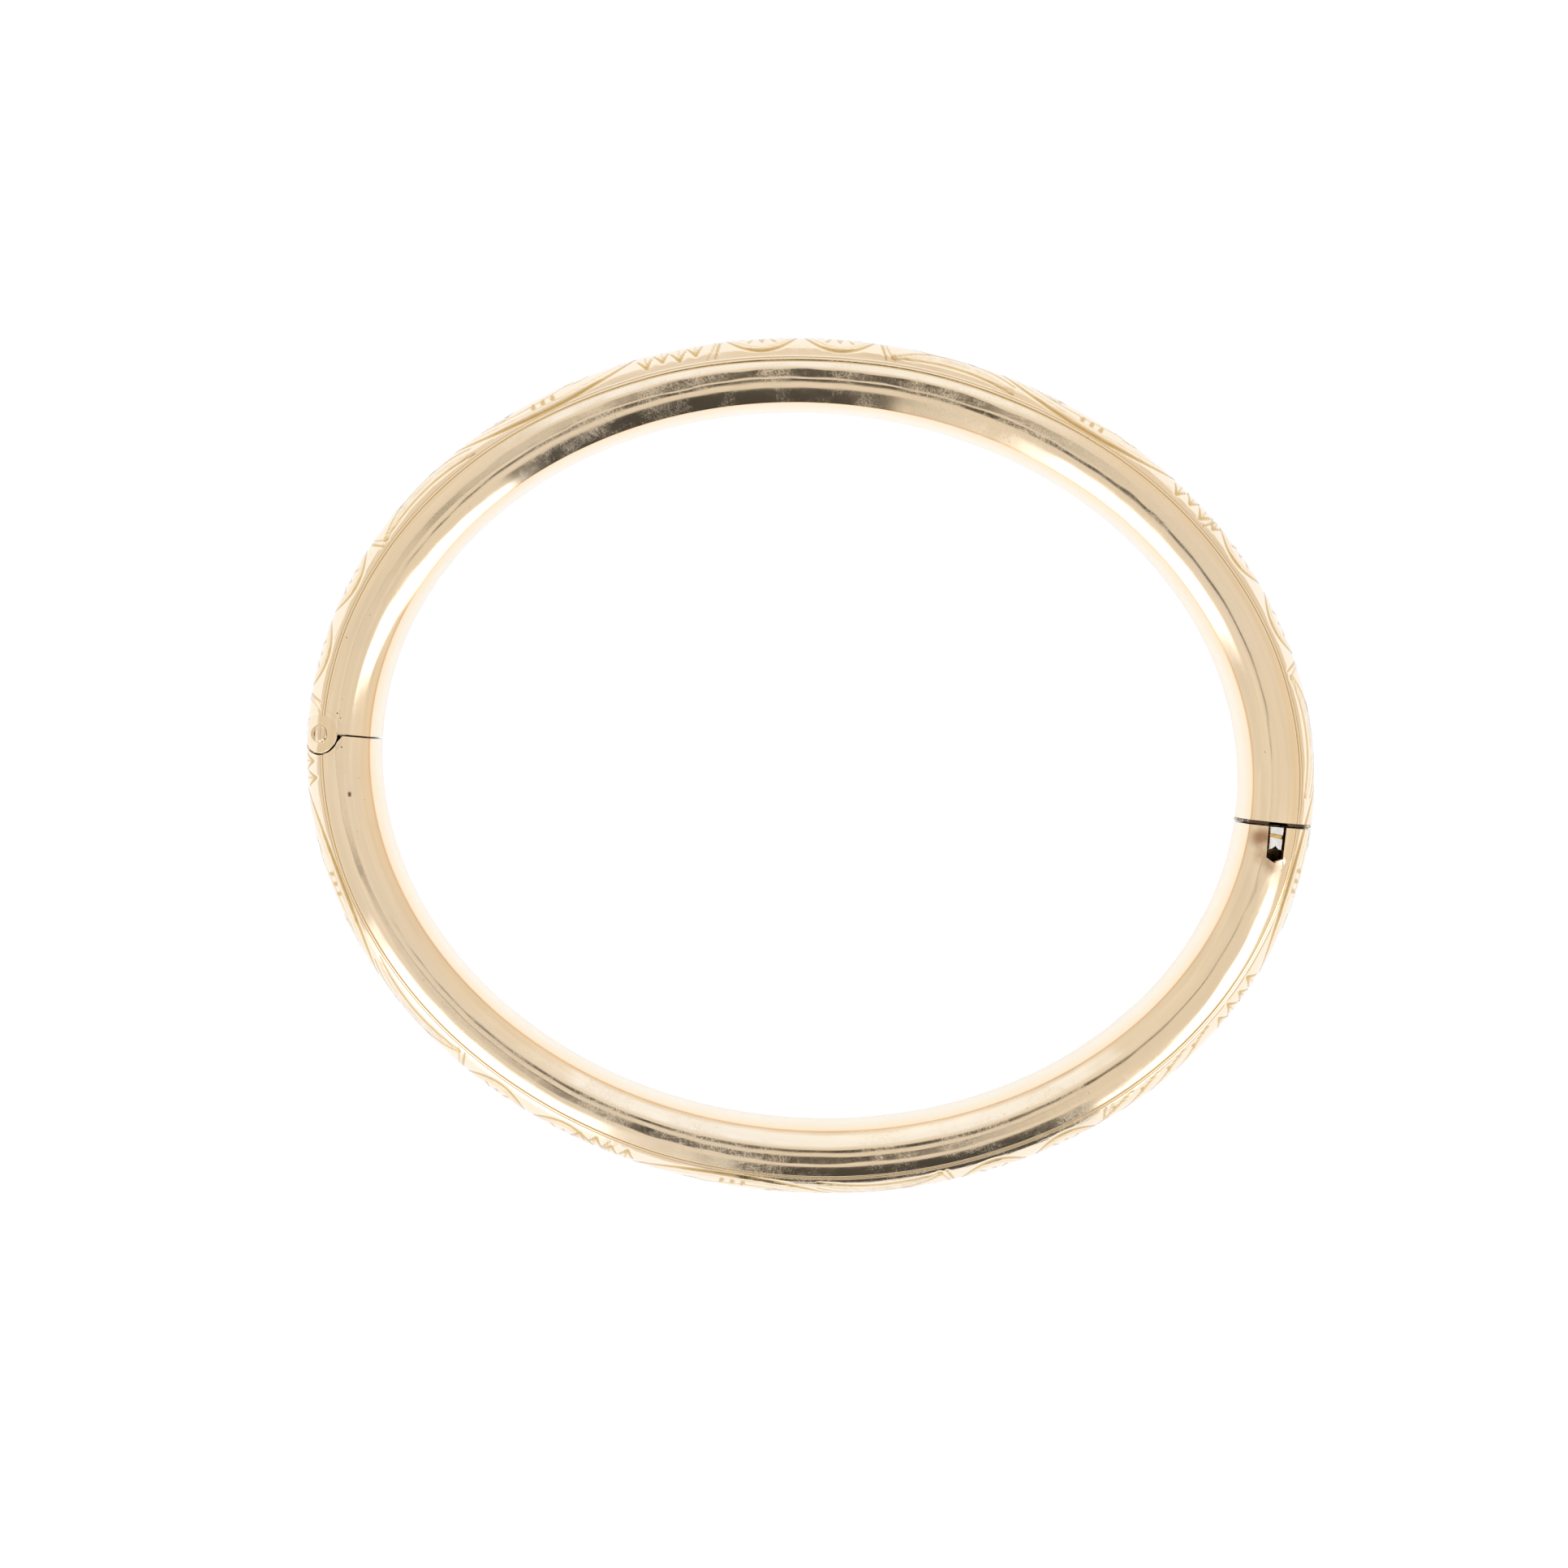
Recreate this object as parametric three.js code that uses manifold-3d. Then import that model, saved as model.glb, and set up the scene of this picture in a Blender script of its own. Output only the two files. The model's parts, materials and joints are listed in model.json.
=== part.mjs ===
// A hinged oval bangle bracelet of hollow rolled-gold tube, closed with a snap tongue.
// Millimetres, +Z up. The bangle lies flat: X runs from the hinge (-X) to the clasp (+X),
// and the origin is on the resting plane under the centre of the oval.
//
// Two half tubes, each an outer shell seamed to an inner lining and closed by an end cap at
// each end, turn on a riveted pin. The +Y half carries the folded snap tongue, and the
// -Y half carries the catch that the tongue snaps into.

import * as THREE from 'three';
import { mergeVertices } from 'three/addons/utils/BufferGeometryUtils.js';
import Module from 'manifold-3d';

const wasm = await Module();
wasm.setup();

// Overall oval: the line along the top of the tube, where its side wall is highest
const CROWN_LENGTH = 62.2;
const CROWN_WIDTH = 51.8;

// Tube section, measured from the crown line
const TUBE_HEIGHT = 6.0;
const OUTER_DOME = 2.8;
const INNER_DEPTH = 1.8;
const LINING_BULGE = 0.2;
const WALL = 0.35;
const CROWN_FLAT_ANGLE = THREE.MathUtils.degToRad(6);

// Clearances
const SEAM_GAP = 0.04;
const RUNNING_GAP = 0.05;
const HINGE_GAP = 0.06;
const CLASP_GAP = 0.3;
const SLIDE_GAP = 0.12;

// Where the two halves part, and the caps that close their ends
const SPLIT_Y = -0.75;
const CAP_THICKNESS = 0.35;

// Hinge: a riveted pin in three knuckles, the barrel tangent to the outside of the tube
const KNUCKLE_RADIUS = 1.28;
const CENTRE_KNUCKLE_HEIGHT = 1.7;
const KNUCKLE_SWING_GAP = 0.12;
const PIN_RADIUS = 0.4;
const PIN_HEAD_OVERHANG = 0.16;
const PIN_HEAD_DEPTH = 0.55;
const PIN_DROP = 0.1;
const KNUCKLE_TAIL_WIDTH = 1.0;
const KNUCKLE_TAIL_LENGTH = 2.0;

// Snap tongue: a strip folded back on itself, its upper leaf sprung and carrying the thumb piece
const TONGUE_OFFSET = -0.1;
const TONGUE_WIDTH = 1.6;
const TONGUE_REACH = 4.15;
const LEAF_THICKNESS = 0.3;
const LEAF_RISE = 0.74;
const FOLD_GAP = 0.06;
const SHOULDER_GAP = 0.22;
const THUMB_WIDTH = 0.95;
const THUMB_LENGTH = 1.55;
const THUMB_RECESS = 0.1;
const THUMB_CAP_GAP = 0.27;
const THUMB_GROOVE_WIDTH = 0.28;
const THUMB_GROOVE_DEPTH = 0.14;
const THUMB_SIDE_GAP = 0.1;

// Catch: a channel behind the mouth plate, and the thumb slot through the shell
const BOX_WALL = 0.2;
const BOX_FLOOR_GAP = 0.16;
const BOX_WALL_RISE = 0.9;
const THUMB_SLOT_LENGTH = 2.05;
const THUMB_SLOT_POINT = 0.3;

// How finely curves are faceted
const HALF_STEPS = 36;
const CAP_STEPS = 6;
const OUTER_STEPS = 12;
const SHOULDER_STEPS = 2;
const LINING_STEPS = 4;
const ROUND_SIDES = 24;

// The side of the split that each half lies on
const TONGUE_SIDE = 1;
const CATCH_SIDE = -1;

// ---------------------------------------------------------------------------------------
// Values worked out from the sizes above

const SECTION_HALF_HEIGHT = TUBE_HEIGHT / 2 / Math.cos(CROWN_FLAT_ANGLE);
const CORNER_ANGLE = Math.acos(-INNER_DEPTH / OUTER_DOME);
const OUTER_X = CROWN_LENGTH / 2 + OUTER_DOME;
const PIN_X = -(OUTER_X - KNUCKLE_RADIUS);
const PIN_Y = SPLIT_Y - PIN_DROP;
const PIN_HEAD_RADIUS = PIN_RADIUS + PIN_HEAD_OVERHANG;
const TONGUE_X = CROWN_LENGTH / 2 + TONGUE_OFFSET;
const TONGUE_CAP_Y = SPLIT_Y + CLASP_GAP / 2;
const MOUTH_FRONT_Y = SPLIT_Y - CLASP_GAP / 2;
const MOUTH_BACK_Y = MOUTH_FRONT_Y - CAP_THICKNESS;
const TIP_Y = TONGUE_CAP_Y - TONGUE_REACH;
const LEAF_FOLD_Z = LEAF_THICKNESS + FOLD_GAP;
const LEAF_END_Z = LEAF_FOLD_Z + LEAF_RISE;
const LEAF_END_Y = MOUTH_BACK_Y - SHOULDER_GAP;
const MOUTH_TOP_Z = LEAF_END_Z;
const MOUTH_BOTTOM_Z = -SLIDE_GAP;
const THUMB_SLOT_WIDTH = THUMB_WIDTH + 2 * THUMB_SIDE_GAP;

// How far a cutting shape runs past the tube, and past the whole oval
const PAST_TUBE = TUBE_HEIGHT;
const PAST_OVAL = CROWN_LENGTH;

// How far the tube runs past the long axis before its ends are cut square
const OVERRUN = THREE.MathUtils.degToRad(6);

// ---------------------------------------------------------------------------------------
// Solids

/** A closed geometry as a solid that can be joined and cut. */
function solidOf(geometry) {
  geometry.deleteAttribute('normal');
  geometry.deleteAttribute('uv');
  const merged = mergeVertices(geometry);
  return new wasm.Manifold(new wasm.Mesh({
    numProp: 3,
    vertProperties: new Float32Array(merged.attributes.position.array),
    triVerts: new Uint32Array(merged.index.array),
  }));
}

/** The solid's surface as a geometry. */
function geometryOf(solid) {
  const { numProp, vertProperties, triVerts } = solid.getMesh();
  const geometry = new THREE.BufferGeometry();
  const position = new THREE.InterleavedBuffer(new Float32Array(vertProperties), numProp);
  geometry.setAttribute('position', new THREE.InterleavedBufferAttribute(position, 3, 0));
  geometry.setIndex(new THREE.BufferAttribute(new Uint32Array(triVerts), 1));
  const flat = geometry.toNonIndexed();
  flat.computeVertexNormals();
  return flat;
}

/** A box between two corners. */
function box(low, high) {
  const size = high.map((value, axis) => value - low[axis]);
  const geometry = new THREE.BoxGeometry(...size);
  geometry.translate(...high.map((value, axis) => (value + low[axis]) / 2));
  return solidOf(geometry);
}

/** An upright cylinder round the hinge axis, between two heights. */
function hingeCylinder(radius, low, high) {
  const geometry = new THREE.CylinderGeometry(radius, radius, high - low, ROUND_SIDES);
  geometry.rotateX(Math.PI / 2);
  geometry.translate(PIN_X, PIN_Y, (low + high) / 2);
  return solidOf(geometry);
}

/** A profile in Y (first) and Z (second), extruded evenly to both sides of the tongue's middle. */
function tongueExtrusion(points, width) {
  const shape = new THREE.Shape(points.map(([y, z]) => new THREE.Vector2(y, z)));
  const geometry = new THREE.ExtrudeGeometry(shape, { depth: width, bevelEnabled: false });
  geometry.rotateZ(Math.PI / 2);
  geometry.rotateY(Math.PI / 2);
  geometry.translate(TONGUE_X - width / 2, 0, 0);
  return solidOf(geometry);
}

// ---------------------------------------------------------------------------------------
// The tube: a section carried along the oval crown line

/** Part of the oval along the top of the tube, between two angles round its centre. */
class CrownLine extends THREE.Curve {
  constructor(startAngle, endAngle) {
    super();
    this.startAngle = startAngle;
    this.endAngle = endAngle;
  }

  getPoint(t, target = new THREE.Vector3()) {
    const angle = THREE.MathUtils.lerp(this.startAngle, this.endAngle, t);
    const x = CROWN_LENGTH / 2 * Math.cos(angle);
    const y = CROWN_WIDTH / 2 * Math.sin(angle);
    return target.set(x, y, 0);
  }
}

/** A point of the section in the extrusion's own axes: minus its height, minus its distance outward. */
function sectionPoint(outward, height) {
  return new THREE.Vector2(-height, -outward);
}

/** A point of the dome at an angle from straight outward, set in from the surface. */
function domePoint(angle, inset) {
  const outward = (OUTER_DOME - inset) * Math.cos(angle);
  const height = (SECTION_HALF_HEIGHT - inset) * Math.sin(angle);
  return sectionPoint(outward, height);
}

/** Angles round the dome from its lower corner to its upper one, with a flat at each crown. */
function domeAngles(outerSteps, shoulderSteps) {
  const crownStart = Math.PI / 2 - CROWN_FLAT_ANGLE;
  const crownEnd = Math.PI / 2 + CROWN_FLAT_ANGLE;
  const upper = [];
  for (let step = 0; step <= shoulderSteps; step += 1) {
    upper.push(THREE.MathUtils.lerp(crownEnd, CORNER_ANGLE, step / shoulderSteps));
  }
  const middle = [];
  for (let step = 0; step <= outerSteps; step += 1) {
    middle.push(THREE.MathUtils.lerp(-crownStart, crownStart, step / outerSteps));
  }
  const lower = upper.map((angle) => -angle).reverse();
  return [...lower, ...middle, ...upper];
}

/** Points across the lining from its lower seam to its upper one, bulging towards the wrist. */
function liningPoints(edge, steps) {
  const points = [];
  for (let step = 0; step <= steps; step += 1) {
    const across = step / steps * 2 - 1;
    const outward = edge.outward - LINING_BULGE * (1 - across * across);
    points.push(sectionPoint(outward, edge.height * across));
  }
  return points;
}

const outerDome = domeAngles(OUTER_STEPS, SHOULDER_STEPS).map((angle) => domePoint(angle, 0));
const innerDome = domeAngles(OUTER_STEPS / 2, 1).map((angle) => domePoint(angle, WALL));

// The shell's edge runs straight through its wall, and the lining's edge lies along it
const cornerOutward = OUTER_DOME * Math.cos(CORNER_ANGLE);
const cornerHeight = SECTION_HALF_HEIGHT * Math.sin(CORNER_ANGLE);
const edgeOutward = -WALL * Math.cos(CORNER_ANGLE);
const edgeHeight = -WALL * Math.sin(CORNER_ANGLE);
const visibleEdge = {
  outward: cornerOutward + SEAM_GAP * edgeHeight / WALL,
  height: cornerHeight - SEAM_GAP * edgeOutward / WALL,
};
const hiddenEdge = {
  outward: visibleEdge.outward + edgeOutward,
  height: visibleEdge.height + edgeHeight,
};

const shellShape = new THREE.Shape([...outerDome, ...innerDome.reverse()]);
const liningShape = new THREE.Shape([
  ...liningPoints(visibleEdge, LINING_STEPS),
  ...liningPoints(hiddenEdge, LINING_STEPS / 2).reverse(),
]);
const fullShape = new THREE.Shape([
  ...outerDome,
  ...liningPoints({ outward: cornerOutward, height: cornerHeight }, LINING_STEPS)
    .slice(1, -1)
    .reverse(),
]);

/** A section carried along the crown line from one angle to another. */
function tube(shape, startAngle, endAngle, steps) {
  const path = new CrownLine(startAngle, endAngle);
  return solidOf(new THREE.ExtrudeGeometry(shape, { steps, extrudePath: path }));
}

/** All that lies on one side of a level across the bangle, between two places in X. */
function beyondLevel(y, side, lowX, highX) {
  const far = y + side * PAST_OVAL;
  return box([lowX, Math.min(y, far), -PAST_TUBE], [highX, Math.max(y, far), PAST_TUBE]);
}

/** A shell or lining of one half, cut square behind the caps that close its ends. */
function halfTube(shape, side) {
  const middle = side * Math.PI / 2;
  const half = Math.PI / 2 + OVERRUN;
  const whole = tube(shape, middle - half, middle + half, HALF_STEPS);
  const hingeEnd = SPLIT_Y + side * (HINGE_GAP / 2 + CAP_THICKNESS + SEAM_GAP);
  const claspEnd = SPLIT_Y + side * (CLASP_GAP / 2 + CAP_THICKNESS + SEAM_GAP);
  const pastHinge = beyondLevel(hingeEnd, -side, -PAST_OVAL, 0);
  const pastClasp = beyondLevel(claspEnd, -side, 0, PAST_OVAL);
  return whole.subtract(pastHinge).subtract(pastClasp);
}

/** The flat cap across one end of a half, with the tube's own outline. */
function endCap(atClasp, side) {
  const middle = atClasp ? 0 : Math.PI;
  const gap = atClasp ? CLASP_GAP : HINGE_GAP;
  const face = SPLIT_Y + side * gap / 2;
  const back = face + side * CAP_THICKNESS;
  const slab = box(
    [-PAST_OVAL, Math.min(face, back), -PAST_TUBE],
    [PAST_OVAL, Math.max(face, back), PAST_TUBE],
  );
  return tube(fullShape, middle - OVERRUN, middle + OVERRUN, CAP_STEPS).intersect(slab);
}

/** What lies inside the tube's outer surface round the hinge. */
function hingeEnvelope() {
  return tube(fullShape, Math.PI - OVERRUN, Math.PI + OVERRUN, CAP_STEPS);
}

// ---------------------------------------------------------------------------------------
// Hinge

const centreTop = CENTRE_KNUCKLE_HEIGHT / 2;
const pinSurface = SECTION_HALF_HEIGHT
  * Math.sqrt(1 - ((OUTER_DOME - KNUCKLE_RADIUS) / OUTER_DOME) ** 2);
const headSeat = pinSurface - PIN_HEAD_DEPTH;

/** The pin's shank and the rivet head at each end, grown all round by a clearance. */
function pinSolid(clearance) {
  const shank = hingeCylinder(PIN_RADIUS + clearance, -PAST_TUBE, PAST_TUBE);
  const seat = headSeat - clearance;
  const upperHead = hingeCylinder(PIN_HEAD_RADIUS + clearance, seat, PAST_TUBE);
  const lowerHead = hingeCylinder(PIN_HEAD_RADIUS + clearance, -PAST_TUBE, -seat);
  return shank.add(upperHead).add(lowerHead);
}

/** One of the two knuckles of the tongue half, filed flush with the tube. */
function outerKnuckle(side) {
  const near = side * (centreTop + RUNNING_GAP);
  const far = side * PAST_TUBE;
  const barrel = hingeCylinder(KNUCKLE_RADIUS, Math.min(near, far), Math.max(near, far));
  return barrel.intersect(hingeEnvelope()).subtract(pinSolid(SEAM_GAP));
}

/** The tail of the middle knuckle, which runs through the catch half's cap, grown by a clearance. */
function knuckleTail(clearance) {
  const half = KNUCKLE_TAIL_WIDTH / 2 + clearance;
  const height = centreTop + clearance;
  return box(
    [PIN_X - half, PIN_Y - KNUCKLE_TAIL_LENGTH - clearance, -height],
    [PIN_X + half, PIN_Y, height],
  );
}

/** The middle knuckle, on the catch half. */
function centreKnuckle() {
  const barrel = hingeCylinder(KNUCKLE_RADIUS - KNUCKLE_SWING_GAP, -centreTop, centreTop);
  const bore = hingeCylinder(PIN_RADIUS + RUNNING_GAP, -PAST_TUBE, PAST_TUBE);
  return barrel.add(knuckleTail(0)).subtract(bore);
}

/** The rounded seat that a half leaves for the knuckles, clear of them by a gap. */
function knuckleSeat(gap) {
  return hingeCylinder(KNUCKLE_RADIUS + gap, -PAST_TUBE, PAST_TUBE);
}

/** The seat in a hinge cap, which stops at the knuckles and leaves nothing outside them. */
function capSeat(gap) {
  const outside = box(
    [PIN_X - PAST_TUBE, PIN_Y - KNUCKLE_RADIUS, -PAST_TUBE],
    [PIN_X, PIN_Y + KNUCKLE_RADIUS, PAST_TUBE],
  );
  return knuckleSeat(gap).add(outside);
}

// ---------------------------------------------------------------------------------------
// Clasp

/** The fixed lower leaf of the tongue, on the tongue half's cap. */
function tongueBase() {
  const root = TONGUE_CAP_Y - SEAM_GAP;
  return tongueExtrusion([
    [root, 0],
    [root, LEAF_THICKNESS],
    [TIP_Y, LEAF_THICKNESS],
    [TIP_Y - LEAF_THICKNESS / 2, LEAF_THICKNESS / 2],
    [TIP_Y, 0],
  ], TONGUE_WIDTH);
}

/** The sprung upper leaf, from the fold at the tip up to the shoulders behind the mouth plate. */
function springLeaf() {
  return tongueExtrusion([
    [LEAF_END_Y, LEAF_END_Z],
    [LEAF_END_Y, LEAF_END_Z + LEAF_THICKNESS],
    [TIP_Y, LEAF_FOLD_Z + LEAF_THICKNESS],
    [TIP_Y - LEAF_THICKNESS / 2, LEAF_FOLD_Z + LEAF_THICKNESS / 2],
    [TIP_Y, LEAF_FOLD_Z],
  ], TONGUE_WIDTH);
}

/** The thumb piece on the leaf's end, with a groove across its top for a nail. */
function thumbPiece() {
  const front = TONGUE_CAP_Y - THUMB_CAP_GAP;
  const back = front - THUMB_LENGTH;
  const top = TUBE_HEIGHT / 2 - THUMB_RECESS;
  const foot = LEAF_END_Z + LEAF_THICKNESS + SEAM_GAP;
  const grooveBack = (front + back) / 2;
  const grooveFront = grooveBack + THUMB_GROOVE_WIDTH;
  const chamfer = THUMB_GROOVE_DEPTH;
  return tongueExtrusion([
    [front, foot],
    [front, top - chamfer],
    [front - chamfer, top],
    [grooveFront, top],
    [grooveFront, top - THUMB_GROOVE_DEPTH],
    [grooveBack, top - THUMB_GROOVE_DEPTH],
    [grooveBack, top],
    [back + chamfer, top],
    [back, top - chamfer],
    [back, foot],
  ], THUMB_WIDTH);
}

/** The opening in the mouth plate: a window for the folded tongue and a notch for the thumb piece. */
function mouthOpening() {
  const half = TONGUE_WIDTH / 2 + SLIDE_GAP;
  const notch = THUMB_SLOT_WIDTH / 2;
  const window = box(
    [TONGUE_X - half, MOUTH_BACK_Y - SLIDE_GAP, MOUTH_BOTTOM_Z],
    [TONGUE_X + half, MOUTH_FRONT_Y + SLIDE_GAP, MOUTH_TOP_Z],
  );
  const slit = box(
    [TONGUE_X - notch, MOUTH_BACK_Y - SLIDE_GAP, 0],
    [TONGUE_X + notch, MOUTH_FRONT_Y + SLIDE_GAP, PAST_TUBE],
  );
  return window.add(slit);
}

/** The thumb slot through the upper wall of the catch half, ending in a point. */
function thumbSlot() {
  const half = THUMB_SLOT_WIDTH / 2;
  const square = MOUTH_FRONT_Y - THUMB_SLOT_LENGTH;
  const outline = new THREE.Shape([
    new THREE.Vector2(TONGUE_X - half, square),
    new THREE.Vector2(TONGUE_X, square - THUMB_SLOT_POINT),
    new THREE.Vector2(TONGUE_X + half, square),
    new THREE.Vector2(TONGUE_X + half, 0),
    new THREE.Vector2(TONGUE_X - half, 0),
  ]);
  return solidOf(new THREE.ExtrudeGeometry(outline, { depth: PAST_TUBE, bevelEnabled: false }));
}

/** The open-topped channel that guides the tongue behind the mouth plate. */
function catchBox() {
  const inner = TONGUE_WIDTH / 2 + SLIDE_GAP;
  const outer = inner + BOX_WALL;
  const front = MOUTH_BACK_Y - SEAM_GAP;
  const end = TIP_Y - LEAF_THICKNESS / 2 - SLIDE_GAP;
  const floor = -BOX_FLOOR_GAP;
  const body = box(
    [TONGUE_X - outer, end - BOX_WALL, floor - BOX_WALL],
    [TONGUE_X + outer, front, BOX_WALL_RISE],
  );
  const hollow = box(
    [TONGUE_X - inner, end, floor],
    [TONGUE_X + inner, front + PAST_TUBE, BOX_WALL_RISE + PAST_TUBE],
  );
  return body.subtract(hollow);
}

// ---------------------------------------------------------------------------------------
// Assembly

const bangle = new THREE.Group();
bangle.name = 'hinged_bangle';
bangle.position.z = TUBE_HEIGHT / 2;

/** Adds one piece with its own finish. */
function addPiece(name, solid, color, roughness, metalness = 1) {
  const material = new THREE.MeshStandardMaterial({ color, roughness, metalness });
  const mesh = new THREE.Mesh(geometryOf(solid), material);
  mesh.name = name;
  bangle.add(mesh);
}

const SHELL_GOLD = 0xd8bd8a;
const LINING_GOLD = 0xe6c793;
const CAP_GOLD = 0xc9a25c;
const HINGE_GOLD = 0xcdb07c;
const CLASP_BRASS = 0x9b7a45;
const THUMB_GOLD = 0xd9cdb0;

const tongueShell = halfTube(shellShape, TONGUE_SIDE).subtract(knuckleSeat(SEAM_GAP));
const tongueHingeCap = endCap(false, TONGUE_SIDE).subtract(capSeat(SEAM_GAP));
addPiece('tongue_half_outer_shell', tongueShell, SHELL_GOLD, 0.18);
addPiece('tongue_half_inner_lining', halfTube(liningShape, TONGUE_SIDE), LINING_GOLD, 0.25);
addPiece('tongue_half_hinge_cap', tongueHingeCap, CAP_GOLD, 0.35);
addPiece('tongue_half_clasp_cap', endCap(true, TONGUE_SIDE), CAP_GOLD, 0.35);
addPiece('hinge_knuckle_upper', outerKnuckle(1), HINGE_GOLD, 0.25);
addPiece('hinge_knuckle_lower', outerKnuckle(-1), HINGE_GOLD, 0.25);
addPiece('hinge_pin', pinSolid(0).intersect(hingeEnvelope()), HINGE_GOLD, 0.3);
addPiece('snap_tongue_base', tongueBase(), CLASP_BRASS, 0.4);

addPiece('snap_spring_leaf', springLeaf(), CLASP_BRASS, 0.4);
addPiece('snap_thumb_piece', thumbPiece(), THUMB_GOLD, 0.3);

const catchShell = halfTube(shellShape, CATCH_SIDE)
  .subtract(knuckleSeat(KNUCKLE_SWING_GAP))
  .subtract(thumbSlot());
const catchHingeCap = endCap(false, CATCH_SIDE)
  .subtract(capSeat(KNUCKLE_SWING_GAP))
  .subtract(knuckleTail(SEAM_GAP));
const mouthPlate = endCap(true, CATCH_SIDE).subtract(mouthOpening());
addPiece('catch_half_outer_shell', catchShell, SHELL_GOLD, 0.18);
addPiece('catch_half_inner_lining', halfTube(liningShape, CATCH_SIDE), LINING_GOLD, 0.25);
addPiece('catch_half_hinge_cap', catchHingeCap, CAP_GOLD, 0.35);
addPiece('catch_half_mouth_plate', mouthPlate, CAP_GOLD, 0.35);
addPiece('hinge_knuckle_centre', centreKnuckle(), HINGE_GOLD, 0.3);
addPiece('catch_box', catchBox(), CLASP_BRASS, 0.45);

export default bangle;
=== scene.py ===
"""The looks of a hinged oval bangle of rolled-gold tube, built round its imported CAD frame.

Metres, +Z up, as in the frame: the bangle lies flat, with its hinge at -X and its clasp at +X.
"""

import json

import bpy
import numpy as np
from mathutils import Matrix, Vector


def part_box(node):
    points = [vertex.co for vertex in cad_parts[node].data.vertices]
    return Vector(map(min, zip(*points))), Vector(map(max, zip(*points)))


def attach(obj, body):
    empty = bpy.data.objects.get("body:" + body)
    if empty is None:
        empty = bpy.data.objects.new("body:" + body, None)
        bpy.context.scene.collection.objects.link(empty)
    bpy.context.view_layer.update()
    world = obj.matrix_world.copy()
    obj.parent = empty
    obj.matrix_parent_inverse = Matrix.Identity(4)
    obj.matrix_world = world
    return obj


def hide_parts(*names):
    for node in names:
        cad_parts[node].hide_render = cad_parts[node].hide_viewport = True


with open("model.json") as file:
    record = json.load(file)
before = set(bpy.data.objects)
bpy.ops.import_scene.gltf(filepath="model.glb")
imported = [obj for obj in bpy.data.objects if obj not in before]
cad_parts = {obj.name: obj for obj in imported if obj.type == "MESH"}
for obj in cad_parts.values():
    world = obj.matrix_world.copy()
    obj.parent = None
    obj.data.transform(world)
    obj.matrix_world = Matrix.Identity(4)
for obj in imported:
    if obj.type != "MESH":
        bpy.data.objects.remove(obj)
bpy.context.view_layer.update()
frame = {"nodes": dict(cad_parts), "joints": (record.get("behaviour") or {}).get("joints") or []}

link = bpy.context.scene.collection.objects.link
MM = 0.001

# ---------------------------------------------------------------------------------------
# Camera: almost straight above the bangle, a little towards its hinge, and turned so that
# the clasp lies lower than the hinge in the view.

CAMERA_AT = Vector((-3.2, 2.4, 143.1)) * MM
CAMERA_LOOKS_AT = Vector((-1.732, -1.269, 3.0)) * MM
CAMERA_ROLL = np.radians(5.516)
FOCAL_LENGTH = 47.77

lens = bpy.data.cameras.new("camera")
lens.lens = FOCAL_LENGTH
lens.sensor_width = 36.0
lens.clip_start = 0.01
camera = bpy.data.objects.new("camera", lens)
forward = (CAMERA_LOOKS_AT - CAMERA_AT).normalized()
level_up = (Vector((0, 1, 0)) - forward * forward.y).normalized()
level_right = forward.cross(level_up)
up = level_up * np.cos(CAMERA_ROLL) - level_right * np.sin(CAMERA_ROLL)
turn = Matrix((forward.cross(up), up, -forward)).transposed()
camera.matrix_world = Matrix.Translation(CAMERA_AT) @ turn.to_4x4()
link(camera)
bpy.context.scene.camera = camera

# ---------------------------------------------------------------------------------------
# Studio: a plain white table, and a bright tent round it with a softbox on each side, a
# paler panel behind, one opening left dark and the camera's boom across the top. Polished
# metal shows the dark parts as olive bands.

TENT_LIGHT = 0.82
SOFTBOX_LIGHT = 2.3
PANEL_LIGHT = 1.2
OPENING_LIGHT = 0.07
CAMERA_LIGHT = 0.06
MOTTLE = 0.3
TABLE_SIZE = 1.6


class Socket:
    """An output of a shader node. Arithmetic on it adds Math nodes, and node() adds any other."""

    def __init__(self, tree, output):
        self.tree = tree
        self.output = output

    def node(self, kind, settings, sockets, output=0):
        """Adds a node, sets its settings, then fills its sockets with values or other outputs."""
        made = self.tree.nodes.new(kind)
        for name, value in settings.items():
            setattr(made, name, value)
        for key, value in sockets.items():
            if isinstance(value, Socket):
                self.tree.links.new(value.output, made.inputs[key])
            else:
                made.inputs[key].default_value = value
        return Socket(self.tree, made.outputs[output])

    def math(self, operation, *values, clamp=False):
        settings = {"operation": operation, "use_clamp": clamp}
        return self.node("ShaderNodeMath", settings, dict(enumerate((self,) + values)))

    def __add__(self, other):
        return self.math("ADD", other)

    def __mul__(self, other):
        return self.math("MULTIPLY", other)

    def __sub__(self, other):
        return self.math("SUBTRACT", other)

    def __rsub__(self, other):
        return self.math("MULTIPLY_ADD", -1.0, other)

    def __truediv__(self, other):
        return self.math("DIVIDE", other)

    __radd__ = __add__
    __rmul__ = __mul__

    def rises(self, low, high):
        """0 below low and 1 above high, with a smooth step between them."""
        settings = {"interpolation_type": "SMOOTHSTEP"}
        return self.node("ShaderNodeMapRange", settings, {0: self, 1: low, 2: high})

    def near(self, centre, half, soft):
        """1 within half of a centre, falling to 0 over a soft edge."""
        return 1 - (self - centre).math("ABSOLUTE").rises(half - soft / 2, half + soft / 2)

    def blend(self, first, second):
        """A colour that goes from the first to the second as this value goes from 0 to 1."""
        return self.node("ShaderNodeMix", {"data_type": "RGBA"}, {0: self, 6: first, 7: second}, 2)

    def part(self, axis):
        """One part of a vector: x, y or z."""
        return self.node("ShaderNodeSeparateXYZ", {}, {0: self}, axis)


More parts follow.
